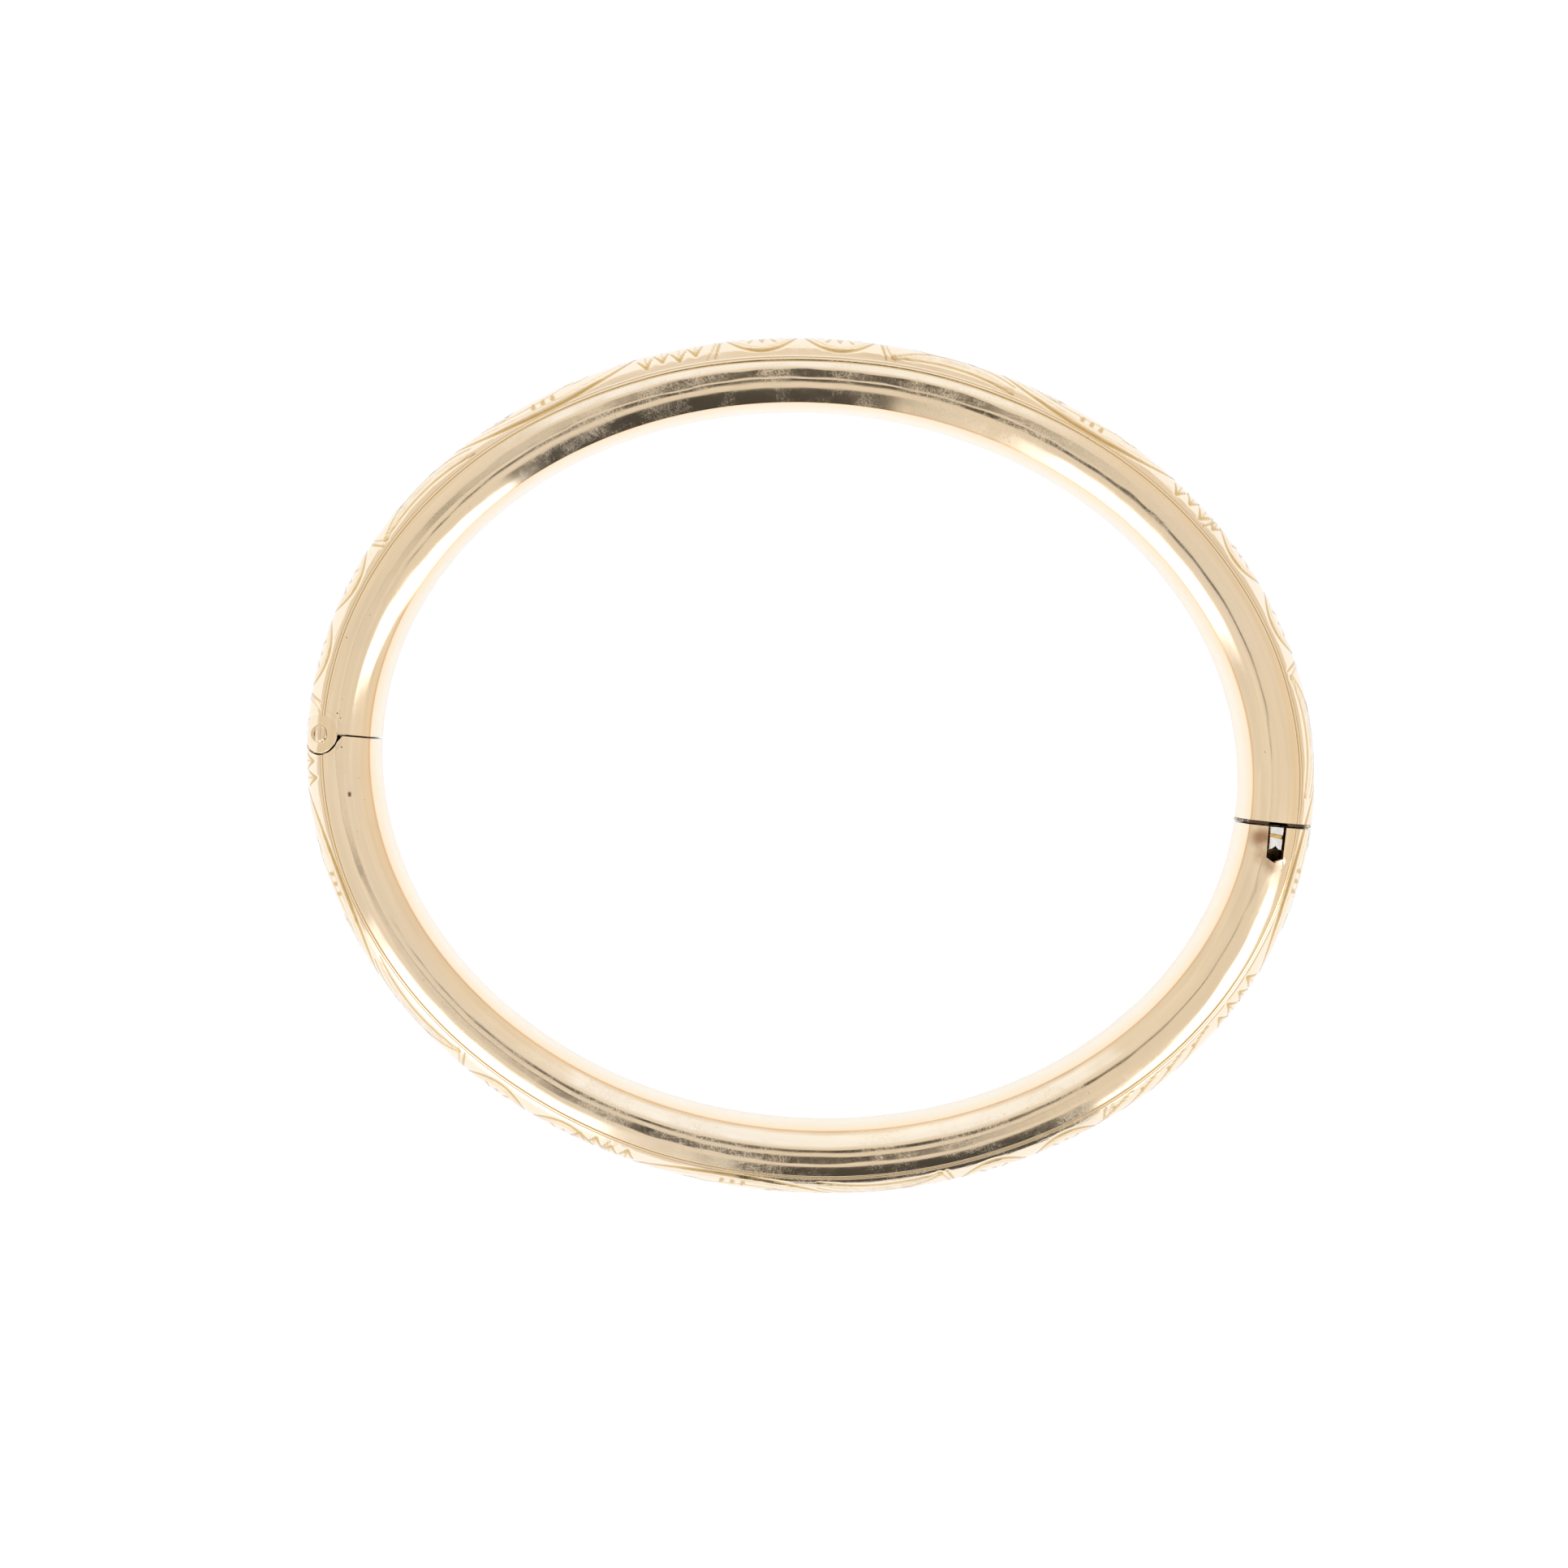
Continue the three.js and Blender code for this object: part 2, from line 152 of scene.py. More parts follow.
def noise(place, scale, detail=2.0):
    """A cloudy value from 0 to 1 over a place."""
    return place.node("ShaderNodeTexNoise", {}, {"Vector": place, "Scale": scale, "Detail": detail}, 0)


tent = bpy.data.worlds.new("tent")
tent.use_nodes = True
bpy.context.scene.world = tent
seen = tent.node_tree.nodes.new("ShaderNodeTexCoord")
toward = Socket(tent.node_tree, seen.outputs["Generated"])
east = toward.part("X")
north = toward.part("Y")
azimuth = north.math("ARCTAN2", east).math("DEGREES")
zenith = toward.part("Z").math("ARCCOSINE").math("DEGREES")

right_box_middle = 40 - (azimuth + 20) * 1.05
right_box = azimuth.near(-31, 20, 7) * (zenith - right_box_middle).near(0, 17, 7)
left_box = azimuth.near(-126, 18, 9) * zenith.near(64, 26, 8)
panel = azimuth.near(96, 31, 7) * zenith.near(45, 17, 7)
opening = azimuth.near(-73, 20, 3) * zenith.near(70, 36, 3)
beside = 1 - north.math("ABSOLUTE").rises(0.06, 0.12)
boom = (east - 0.012 + beside * 0.3).math("ABSOLUTE") / (0.1 - beside * 0.094)
boom = (1 - boom.rises(0.7, 1.3)) * north.near(0, 0.26, 0.02) * zenith.near(0, 20, 2)
mottle = noise(toward, 4.0)

warm_side = azimuth.near(30, 50, 60) * zenith.near(62, 22, 20)
walls = warm_side.blend((1.0, 0.975, 0.95, 1), (1.0, 0.93, 0.83, 1))
walls = (right_box + left_box + panel).blend(walls, (0.86, 0.95, 1.12, 1))
level = (mottle - 0.5) * MOTTLE + TENT_LIGHT
level = level + right_box * (SOFTBOX_LIGHT - TENT_LIGHT) + left_box * (SOFTBOX_LIGHT - TENT_LIGHT)
level = level + panel * (PANEL_LIGHT - TENT_LIGHT)
level = level - (level - OPENING_LIGHT) * opening
level = level - (level - CAMERA_LIGHT) * boom
sky = tent.node_tree.nodes["Background"]
tent.node_tree.links.new(walls.output, sky.inputs["Color"])
tent.node_tree.links.new(level.output, sky.inputs["Strength"])
bpy.context.scene.view_settings.view_transform = "Standard"

soft_light = bpy.data.lights.new("overhead", "AREA")
soft_light.shape = "DISK"
soft_light.size = 0.9
soft_light.energy = 0.9
overhead = bpy.data.objects.new("overhead", soft_light)
overhead.location = (0.0, 0.0, 0.75)
overhead.visible_glossy = False
link(overhead)


def begin_finish(name):
    """A new material: its shader, the place of a point on the piece and the piece's own map."""
    finish = bpy.data.materials.new(name)
    finish.use_nodes = True
    tree = finish.node_tree
    places = tree.nodes.new("ShaderNodeTexCoord")
    place = Socket(tree, places.outputs["Object"])
    unrolled = Socket(tree, places.outputs["UV"])
    return finish, tree.nodes["Principled BSDF"], place, unrolled


def feed(shader, **inputs):
    """Links outputs to the shader's sockets, and sets plain values on the sockets themselves."""
    for key, value in inputs.items():
        socket = shader.inputs[key.replace("_", " ")]
        if isinstance(value, Socket):
            value.tree.links.new(value.output, socket)
        else:
            socket.default_value = value


table_white, shader, place, _ = begin_finish("table_white")
feed(
    shader,
    Base_Color=noise(place, 900.0).blend((0.30, 0.31, 0.33, 1), (0.33, 0.34, 0.36, 1)),
    Roughness=0.9,
    Specular_IOR_Level=0.1,
    Emission_Color=(0.80, 0.87, 1.0, 1),
    Emission_Strength=0.93,
)
table_top = bpy.data.meshes.new("table_top")
reach = TABLE_SIZE / 2
corners = [(-reach, -reach, 0), (reach, -reach, 0), (reach, reach, 0), (-reach, reach, 0)]
table_top.from_pydata(corners, [], [(0, 1, 2, 3)])
table_top.materials.append(table_white)
table = bpy.data.objects.new("table_top", table_top)
link(table)

# ---------------------------------------------------------------------------------------
# Outer shells: the two C-shaped walls of the tube, rolled gold sheet drawn to a half-round
# dome, polished over the shoulders and engraved by hand round the outside. Each is soldered
# to its lining along both edges. The catch shell has the thumb slot cut through it.

DOME = 2.8 * MM
CORNER = 1.8 * MM
WALL = 0.35 * MM
FLAT_CROWN = np.radians(6)
SEAT_GAP = {1: 0.0, -1: 0.12 * MM}
KNUCKLE = 1.28 * MM
SLOT_LENGTH = 2.05 * MM
SLOT_POINT = 0.3 * MM
SLOT_SIDE_GAP = 0.1 * MM
SPLIT_Y = -0.75 * MM
COLUMNS = 800
BAND_EDGE = 3.42  # half the engraved band's width on the dome, in millimetres
HALVES = (("tongue_half", 1), ("catch_half", -1))

shell_low, shell_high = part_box("tongue_half_outer_shell")
CROWN_X = shell_high.x - DOME
CROWN_Y = shell_high.y - DOME
MIDDLE_Z = (shell_low.z + shell_high.z) / 2
HALF_HEIGHT = (shell_high.z - shell_low.z) / 2 / np.cos(FLAT_CROWN)
CORNER_ANGLE = np.arccos(-CORNER / DOME)
PIN = Vector(frame["joints"][0]["pos_m"])
thumb_low, thumb_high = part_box("snap_thumb_piece")
THUMB_X = (thumb_low.x + thumb_high.x) / 2
SLOT_HALF = (thumb_high.x - thumb_low.x) / 2 + SLOT_SIDE_GAP
MOUTH_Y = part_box("catch_half_mouth_plate")[1].y

crown_angles = np.linspace(-np.pi, np.pi, 4001)


def on_oval(angle, outward):
    """The crown line's ellipse at an angle, moved along its outward normal by a distance."""
    across, along = np.cos(angle) / CROWN_X, np.sin(angle) / CROWN_Y
    size = np.hypot(across, along)
    x = CROWN_X * np.cos(angle) + outward * across / size
    y = CROWN_Y * np.sin(angle) + outward * along / size
    return x, y


# The arc length of the tube's outermost line from the clasp, in millimetres, at each angle
rim_x, rim_y = on_oval(crown_angles, DOME)
rim_steps = np.hypot(np.diff(rim_x), np.diff(rim_y))
rim_length = np.concatenate(([0], np.cumsum(rim_steps))) / MM
rim_length = rim_length - np.interp(0, crown_angles, rim_length)


def arc_at(angle):
    """The engraver's place along the tube at an angle, in millimetres from the clasp."""
    return np.interp(angle, crown_angles, rim_length)


def end_angle(outward, level, near_clasp):
    """The angle at which a line of the tube reaches a level in Y, near the clasp or the hinge.

    The ellipse's own sine gives a first angle, and the normal's share of the level is taken
    off it again and again until it settles.
    """
    angle = np.zeros_like(outward) + (0 if near_clasp else np.pi)
    for _ in range(12):
        x, y = on_oval(angle, outward)
        wanted = level(x) if callable(level) else level
        share = y - CROWN_Y * np.sin(angle)
        sine = np.arcsin((wanted - share) / CROWN_Y)
        angle = sine if near_clasp else np.pi - sine
    return angle


def strokes_of(pair, before):
    """One run of the engraving, clockwise from a pair of medallions to the pair before it.

    A stroke is a line of points with a half width at each, in millimetres along the tube and
    out from its middle. Both edges of the tube get the same strokes.
    """
    strokes = []

    def cut(along, out, width, depth=0.05):
        along, out = np.broadcast_arrays(pair - along, out)
        strokes.append((along, out, width + 0 * along, depth))

    turn = np.linspace(0, 2 * np.pi, 220)
    line = np.linspace(0, 1, 150)
    swell = np.sin(np.pi * line)

    for middle in (-2.62, 2.62):
        cut(middle + 2.48 * np.cos(turn), 2.48 * np.sin(turn), 0.14 + 0.05 * np.sin(turn) ** 2, 0.06)
        cut(middle + 2.12 * np.cos(turn), 2.12 * np.sin(turn), 0.09, 0.03)
        for petal in np.arange(6) * np.pi / 3 + np.pi / 6:
            reach = 0.45 + 1.1 * line
            cut(middle + reach * np.cos(petal), reach * np.sin(petal), 0.05 + 0.24 * swell, 0.07)
        for wedge in np.arange(6) * np.pi / 3:
            reach = 1.15 + 0.6 * line
            cut(middle + reach * np.cos(wedge), reach * np.sin(wedge), 0.03 + 0.16 * line, 0.05)
        cut(middle + 0.28 * np.cos(turn), 0.28 * np.sin(turn), 0.09, 0.04)

    for side in (-1, 1):
        cut(side * (5.35 + 0.5 * line**2), 2.75 * line, 0.06 + 0.1 * swell)
        cut(side * (5.75 + 0.7 * line**2), 0.9 + 1.9 * line, 0.05 + 0.07 * swell, 0.035)

    leaf = 6.2 + 8.6 * line
    cut(leaf, 2.62 - 0.45 * swell + 0.15 * line, 0.06 + 0.1 * swell, 0.055)
    cut(leaf, 2.45 - 1.35 * swell - 0.35 * line, 0.05 + 0.12 * swell, 0.055)
    for vein in np.linspace(0.25, 0.75, 4):
        cut(leaf, 2.55 - (0.45 + 0.9 * vein) * swell, 0.07, 0.022)
    cut(6.4 + 6.5 * line, 0.2 + 0.9 * swell, 0.05 + 0.08 * swell)

    sweep = np.pi * (0.02 + 0.96 * line)
    scroll = 20.6
    cut(scroll - 7.1 * np.cos(sweep), 2.82 * np.sin(sweep), 0.08 + 0.14 * swell, 0.065)
    cut(scroll - 6.3 * np.cos(sweep), 2.35 * np.sin(sweep), 0.05 + 0.06 * swell, 0.03)
    cut(scroll - 1.2 - 3.9 * np.cos(sweep), 1.75 * np.sin(sweep), 0.05 + 0.07 * swell, 0.04)
    for curl, size in ((17.4, 1.15), (17.6, 0.7), (23.2, 0.95)):
        cut(curl + size * np.cos(turn), 0.55 + 0.8 * size * np.sin(turn), 0.07, 0.045)
    for step in range(3):
        start = scroll - 0.75 + 0.72 * step
        cut(start + 0.08 * line, 2.05 - 0.5 * line, 0.22 * (1 - line) + 0.02, 0.07)

    for step in range(4):
        tip = 28.0 + 1.15 * step
        height = 2.55 - 0.25 * (step % 2)
        for lean in (-0.5, 0.5):
            cut(tip + lean * line, height - 1.0 * line, 0.14 * (1 - line) + 0.03, 0.06)
        cut(tip + 0.05 * line, height - 1.5 * line, 0.05 + 0.05 * swell, 0.035)

    flow = 32.4
    while pair - flow > before + 7.2:
        cut(flow + 4.6 * line, 2.75 - 2.7 * line**1.4, 0.05 + 0.1 * swell, 0.05)
        cut(flow + 0.6 + 4.2 * line, 2.75 - 2.6 * line**1.3, 0.05, 0.025)
        cut(flow + 1.6 + 0.1 * line, 2.4 - 0.45 * line, 0.19 * (1 - line) + 0.02, 0.06)
        flow += 2.3
    return strokes


PAIRS = np.sort(arc_at(np.radians([-120, -59, 31, 96, 166])))
whole_turn = rim_length[-1] - rim_length[0]
runs = [strokes_of(pair, before) for pair, before in zip(PAIRS, np.roll(PAIRS, 1))]
runs[0] = strokes_of(PAIRS[0], PAIRS[-1] - whole_turn)
engraved_strokes = [stroke for run in runs for stroke in run]
MEAN_RADIUS = (DOME + HALF_HEIGHT) / 2 / MM
FINEST_CUT = 0.11  # every stroke is at least about this wide, so that the rows can carry it
BORDERS = ((3.03, 0.085, 0.035), (3.24, 0.11, 0.045))


def cut_depth(along, out):
    """How deep the graver has gone at each point, in millimetres.

    A stroke is a V: deepest on its line and nothing at its half width. Where strokes cross,
    the deepest counts. The two border lines run all the way round.
    """
    out = np.abs(out)
    depth = np.zeros_like(along)
    for middle, half, most in BORDERS:
        depth = np.maximum(depth, most * np.clip(1 - np.abs(out - middle) / half, 0, 1))
    flat_along, flat_out, flat_depth = along.ravel(), out.ravel(), depth.ravel()
    for stroke_along, stroke_out, width, most in engraved_strokes:
        for shift in (-whole_turn, 0.0, whole_turn):
            low, high = stroke_along.min() + shift - 0.4, stroke_along.max() + shift + 0.4
            found = np.nonzero((flat_along > low) & (flat_along < high) & (flat_out < 3.0))[0]
            if not len(found):
                continue
            gap_along = flat_along[found, None] - stroke_along - shift
            gap_out = flat_out[found, None] - stroke_out
            share = (np.hypot(gap_along, gap_out) / np.hypot(width, FINEST_CUT)).min(1)
            deeper = most * np.clip(1 - share, 0, 1)
            flat_depth[found] = np.maximum(flat_depth[found], deeper)
    return flat_depth.reshape(along.shape)


# A knock by the hinge and a burr by the thumb slot: place along, place out, radius and depth
HINGE_KNOCK = arc_at(np.radians(-170.6)), MEAN_RADIUS * np.radians(95), 0.42, 0.014
SLOT_BURR = arc_at(np.radians(-6.3)), MEAN_RADIUS * np.radians(72), 0.3, -0.022
DENTS = (HINGE_KNOCK, SLOT_BURR)


def hand_wave(along, out):
    """The slight unevenness of hand-drawn tube, in millimetres: long crossing waves and dents."""
    dents = 0.0
    for dent_along, dent_out, radius, deep in DENTS:
        away = np.hypot(along - dent_along, out - dent_out)
        dents = dents + deep * np.exp(-((away / radius) ** 2))
    slow = 0.008 * np.sin(along * 0.52 + 1.3 * np.sin(out * 0.5)) * np.sin(out * 0.9 + along * 0.11)
    quick = 0.003 * np.sin(along * 1.7 + out * 1.1 + 2 * np.sin(along * 0.23))
    return slow + quick + dents


MOST_WANDER = 7.5


def wandered(angle, dome_angle):
    """The dome angle after the engraved band's edge has wandered along the tube.

    Slow waves move the edge by under 2 degrees, and on the tongue half it also moves out by up
    to 7.5 half way round; neither reaches the ends. Angles inside the edge stretch in step,
    and those past it close up again.
    """
    edge, corner = BAND_EDGE / MEAN_RADIUS, CORNER_ANGLE
    away_from_ends = np.sin(angle) ** 2
    along = arc_at(angle)
    waves = 1.1 * np.sin(along * 0.13) + 0.6 * np.sin(along * 0.37 + 1)
    wander = np.radians(MOST_WANDER * (np.sin(angle) > 0) + waves) * away_from_ends
    size = np.abs(dome_angle)
    share = np.where(size < edge, size / edge, (corner - size) / (corner - edge))
    return np.sign(dome_angle) * (size + wander * np.clip(share, 0, 1))


def tube_surface(angle, dome_angle, inset, worked):
    """Points of the tube's wall: the dome's half-round profile carried along the oval.

    Outward is the dome's radius times the cosine of the dome angle, and the height is its half
    height times the sine, both less the inset. Worked surfaces sink by the cuts and the waves.
    """
    along = arc_at(angle)
    out = MEAN_RADIUS * dome_angle
    dome_angle = wandered(angle, dome_angle)
    sunk = inset + 0 * along
    depth = np.zeros_like(along)
    if worked:
        depth = cut_depth(along, out)
        sunk = sunk + (depth + hand_wave(along, out) * worked) * MM
    outward = (DOME - sunk) * np.cos(dome_angle)
    height = (HALF_HEIGHT - sunk) * np.sin(dome_angle)
    height = np.clip(height, shell_low.z - MIDDLE_Z, shell_high.z - MIDDLE_Z)
    x, y = on_oval(angle, outward)
    return np.stack([x, y, MIDDLE_Z + height], -1), along, out, depth


def cap_faces(side):
    """The levels in Y of the outward faces of a half's two caps, at the hinge and the clasp."""
    hinge_cap = "tongue_half_hinge_cap" if side > 0 else "catch_half_hinge_cap"
    clasp_cap = "tongue_half_clasp_cap" if side > 0 else "catch_half_mouth_plate"
    outward = 0 if side > 0 else 1
    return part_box(hinge_cap)[outward].y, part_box(clasp_cap)[outward].y


def half_levels(side):
    """Where a half's tube ends at the hinge, given X, and at the clasp: at its caps' faces."""
    hinge_face, clasp_level = cap_faces(side)
    seat = KNUCKLE + SEAT_GAP[side]

    def hinge_level(x):
        rise = np.sqrt(np.clip(seat**2 - (x - PIN.x) ** 2, 0, None))
        return side * np.maximum(side * hinge_face, side * PIN.y + rise)

    return hinge_level, clasp_level


def slot_level(x, otherwise):
    """The far end of the thumb slot at X, which comes to a point, or the shell's own end."""
    aside = np.abs(x - THUMB_X) / SLOT_HALF
    square = MOUTH_Y - SLOT_LENGTH
    return np.where(aside < 1, square - SLOT_POINT * (1 - aside), otherwise)


def slot_rows(inset):
    """Dome angles of the slot's two edges, each as a close pair, and of its middle."""
    hair = 0.012 * MM
    aside = THUMB_X - CROWN_X + np.array([-1, 0, 1]) * SLOT_HALF
    left, middle, right = aside
    found = np.array([right + hair, right - hair, middle, left + hair, left - hair])
    return np.arccos(found / (DOME - inset))


def seat_corner(side):
    """The dome angle at which the round seat of the knuckles meets the half's flat end."""
    aside = np.sqrt((KNUCKLE + SEAT_GAP[side]) ** 2 - (cap_faces(side)[0] - PIN.y) ** 2)
    return np.arccos((-PIN.x - CROWN_X - aside) / DOME)


def build_mesh(name, points, faces, flat, turned_over=False):
    """A mesh whose corners also know their points' place on the unrolled surface, in mm."""
    if turned_over:
        faces = [face[::-1] for face in faces]
    mesh = bpy.data.meshes.new(name)
    mesh.from_pydata(points.reshape(-1, 3).tolist(), [], faces)
    corner = np.empty(len(mesh.loops), np.int32)
    mesh.loops.foreach_get("vertex_index", corner)
    layer = mesh.uv_layers.new(name="unrolled")
    layer.data.foreach_set("uv", flat.reshape(-1, 2)[corner].astype(np.float32).ravel())
    return mesh


def sleeve(place, backward=False):
    """Quads from each closed loop of points to the next, wound one way or the other."""
    beside = np.roll(place, -1, 1)
    corners = [place[:-1], beside[:-1], beside[1:], place[1:]]
    if backward:
        corners[1:] = corners[:0:-1]
    return np.stack(corners, -1).reshape(-1, 4).tolist()


def paint(mesh, name, values):
    """Stores a value at each point of a mesh, which its finish reads with painted()."""
    stored = mesh.attributes.new(name, "FLOAT", "POINT")
    stored.data.foreach_set("value", values.astype(np.float32).ravel())


def shell_mesh(name, side):
    """One outer shell as a closed loop of rows round its wall, carried from hinge to clasp.

    Each row ends where the tube meets the hinge seat, the cap or the thumb slot. The slot's
    edges are close pairs of rows, so the faces that close the end also make its side walls.
    """
    carved = np.linspace(0, 2.9, 21)
    borders = np.array([2.945, 2.99, 3.03, 3.07, 3.115, 3.13, 3.185, 3.24, 3.295, 3.35, BAND_EDGE])
    seated = np.linspace(BAND_EDGE, 4.75, 14)[1:]
    polished = np.linspace(4.75, CORNER_ANGLE * MEAN_RADIUS, 7)[1:]
    outer = np.concatenate((carved, borders, seated, polished)) / MEAN_RADIUS
    outer = np.concatenate((-outer[:0:-1], outer))
    outer = np.sort(np.concatenate((outer, seat_corner(side) * np.array([-1, 1]))))
    in_slot = slot_rows(0)
    clear = np.abs(outer[:, None] - in_slot).min(1) > 0.012
    outer = np.sort(np.concatenate((outer[clear], in_slot)))
    slot_index = np.searchsorted(outer, in_slot)
    matched = np.unique(np.concatenate((np.arange(0, len(outer), 9), slot_index, [len(outer) - 1])))
    matched = np.array([m for m in matched if m in slot_index or np.abs(m - slot_index).min() > 1])
    inner = outer[matched].copy()
    inner[np.isin(matched, slot_index)] = slot_rows(WALL)

    hinge_level, clasp_level = half_levels(side)
    dome = np.concatenate((outer, inner[::-1]))
    inset = np.concatenate((np.zeros_like(outer), np.full_like(inner, WALL)))
    outward = (DOME - inset) * np.cos(dome)
    hinge_end = end_angle(outward, hinge_level, False)
    plain_end = end_angle(outward, clasp_level, True)
    clasp_end = plain_end
    if side < 0:
        hinge_end = hinge_end - 2 * np.pi
        upper = dome > 0
        reach_x = CROWN_X + outward
        slot_end = end_angle(outward, slot_level(reach_x, clasp_level), True)
        clasp_end = np.where(upper, slot_end, plain_end)
    mean_hinge, mean_clasp = (np.pi if side > 0 else -np.pi), 0.0
    share = np.linspace(0, 1, COLUMNS)[:, None]
    angle = mean_hinge + (mean_clasp - mean_hinge) * share
    near_hinge = np.clip(1 - share / 0.07, 0, 1) ** 2
    near_clasp = np.clip(1 - (1 - share) / 0.07, 0, 1) ** 2
    angle = angle + (hinge_end - mean_hinge) * near_hinge + (clasp_end - mean_clasp) * near_clasp
    dome = dome + 0 * angle
    if side < 0:
        edge = np.abs(outward - (THUMB_X - CROWN_X)) / SLOT_HALF
        held = np.clip(1 - (edge - 1.1) / 1.2, 0, 1) * (dome[0] > 0)
        held = held * np.clip((7 * MM - CROWN_Y * np.abs(np.sin(angle))) / (3 * MM), 0, 1)
        drift = CROWN_X * (1 - np.cos(angle)) * held * (np.cos(angle) > 0)
        shifted = np.clip((outward + drift) / (DOME - inset), -0.99, 0.99)
        dome = np.where(held > 0, np.arccos(shifted), dome)

    count = len(outer)
    points, along, out, depth = tube_surface(angle[:, :count], dome[:, :count], 0.0, 1.0)
    inside, in_along, in_out, _ = tube_surface(angle[:, count:], dome[:, count:], WALL, 0.0)
    grid = np.concatenate((points, inside), 1)
    rows = grid.shape[1]
    place = np.arange(COLUMNS * rows).reshape(COLUMNS, rows)
    partner = count + len(inner) - 1 - np.arange(len(inner))
    ends = []
    for column, order in ((0, -1), (COLUMNS - 1, 1)):
        for lower in range(len(inner) - 1):
            run = np.arange(matched[lower], matched[lower + 1] + 1)
            face = np.concatenate((run, [partner[lower + 1], partner[lower]]))
            ends.append(place[column, face][::order].tolist())
    mapped = np.stack([np.concatenate((along, in_along), 1), np.concatenate((out, in_out + 20), 1)], -1)
    mesh = build_mesh(name, grid, sleeve(place) + ends, mapped, side < 0)
    paint(mesh, "cut", np.concatenate((depth, np.zeros(inside.shape[:2])), 1) / 0.06)
    return mesh


def finished(name, mesh, finishes, sharp_over=35):
    """Puts a mesh in the scene with its finishes, smooth except along edges sharper than an angle."""
    for finish in finishes:
        mesh.materials.append(finish)
    mesh.polygons.foreach_set("use_smooth", np.ones(len(mesh.polygons), bool))
    mesh.set_sharp_from_angle(angle=np.radians(sharp_over))
    mesh.validate()
    piece = bpy.data.objects.new(name, mesh)
    link(piece)
    return piece


def soften_edges(piece, name, width):
    """Rounds a piece's square edges with a bevel, in metres."""
    softened = piece.modifiers.new(name, "BEVEL")
    softened.width = width
    softened.segments = 2
    softened.limit_method = "ANGLE"
    softened.angle_limit = np.radians(60)


def hairlines(unrolled, turn, long, apart, share):
    """Straight scratches: noise drawn out along one direction, kept close to its middle value."""
    drawn = unrolled.node(
        "ShaderNodeMapping",
        {"vector_type": "TEXTURE"},
        {"Vector": unrolled, "Rotation": (0, 0, np.radians(turn)), "Scale": (long, apart, 1.0)},
    )
    settings = {"noise_dimensions": "2D"}
    wave = drawn.node("ShaderNodeTexNoise", settings, {"Vector": drawn, "Scale": 1.0, "Detail": 1.0}, 0)
    return 1 - (wave - 0.5).math("ABSOLUTE").rises(0.0, share)


SAWN_REACH = 0.035 * MM
WIDER_AT_CLASP = 0.12 * MM


def shaded_sawn_ends(place):
    """1 on the sawn ends of the tube, which stand further apart at the clasp than at the hinge. The
    finishes paint these ends near black as shade in the gap between the halves.
    """
    from_split = (place.part("Y") - SPLIT_Y).math("ABSOLUTE")
    wider = place.part("X").rises(-1 * MM, 1 * MM) * WIDER_AT_CLASP
    return 1 - (from_split - wider).rises(SAWN_REACH - 0.004 * MM, SAWN_REACH + 0.004 * MM)


def bumped(place, strength, distance, height):
    """A bump feeding Normal: its strength, its depth in metres and the height that drives it."""
    sockets = {"Strength": strength, "Distance": distance, "Height": height}
    return place.node("ShaderNodeBump", {}, sockets, 0)


def drawn_noise(place, stretch, scale, detail=2.0):
    """Noise over a place squeezed by a factor on each axis, so that it runs along the others."""
    squeezed = place.node("ShaderNodeMapping", {}, {"Vector": place, "Scale": stretch}, 0)
    return noise(squeezed, scale, detail)


def painted(finish, name):
    """The value that paint() stored on the mesh under a name."""
    attribute = finish.node_tree.nodes.new("ShaderNodeAttribute")
    attribute.attribute_name = name
    return Socket(finish.node_tree, attribute.outputs["Fac"])


def from_axis(place, x, y):
    """How far a place lies from an upright axis, in metres."""
    squares = (place.part("X") - x).math("POWER", 2.0) + (place.part("Y") - y).math("POWER", 2.0)
    return squares.math("SQRT")


def spots_at(place, marks):
    """1 on round marks, falling to 0 past them: x, y, radius, softness in mm, and strength."""
    total = 0.0
    for x, y, radius, soft, strength in marks:
        low, high = (radius - soft / 2) * MM, (radius + soft / 2) * MM
        total = (1 - from_axis(place, x * MM, y * MM).rises(low, high)) * strength + total
    return total.math("MINIMUM", 1.0)


POLISHED = (0.95, 0.775, 0.56, 1)
CUT_GOLD = (0.66, 0.43, 0.16, 1)
COPPERY = (0.93, 0.60, 0.33, 1)
TARNISH = (0.36, 0.165, 0.07, 1)
# Near black: soot in the pits, pinholes and knock, and painted shade on the sawn ends in the gap between
# the halves
SOOT_AND_GAP_SHADE = (0.10, 0.07, 0.04, 1)

# Marks on the top: heat stain round the thumb slot, a dark knock and pinholes by the hinge
BY_SLOT, BY_MOUTH = THUMB_X / MM, MOUTH_Y / MM
HEAT_STAIN = (
    (BY_SLOT - 0.95, BY_MOUTH - 0.8, 0.6, 0.9, 1.0),
    (BY_SLOT - 0.8, BY_MOUTH - 2.0, 0.4, 0.8, 0.9),
    (BY_SLOT - 0.1, BY_MOUTH - 2.6, 0.45, 0.9, 0.7),
)
KNOCK_MARK = ((-30.18, -4.55, 0.1, 0.16, 1.0), (-30.16, -4.68, 0.09, 0.15, 1.0))
PINHOLES = (
    (-30.97, -1.56, 0.05, 0.05, 1.0),
    (-31.45, 0.62, 0.05, 0.05, 1.0),
    (-31.2, 0.33, 0.035, 0.04, 1.0),
)

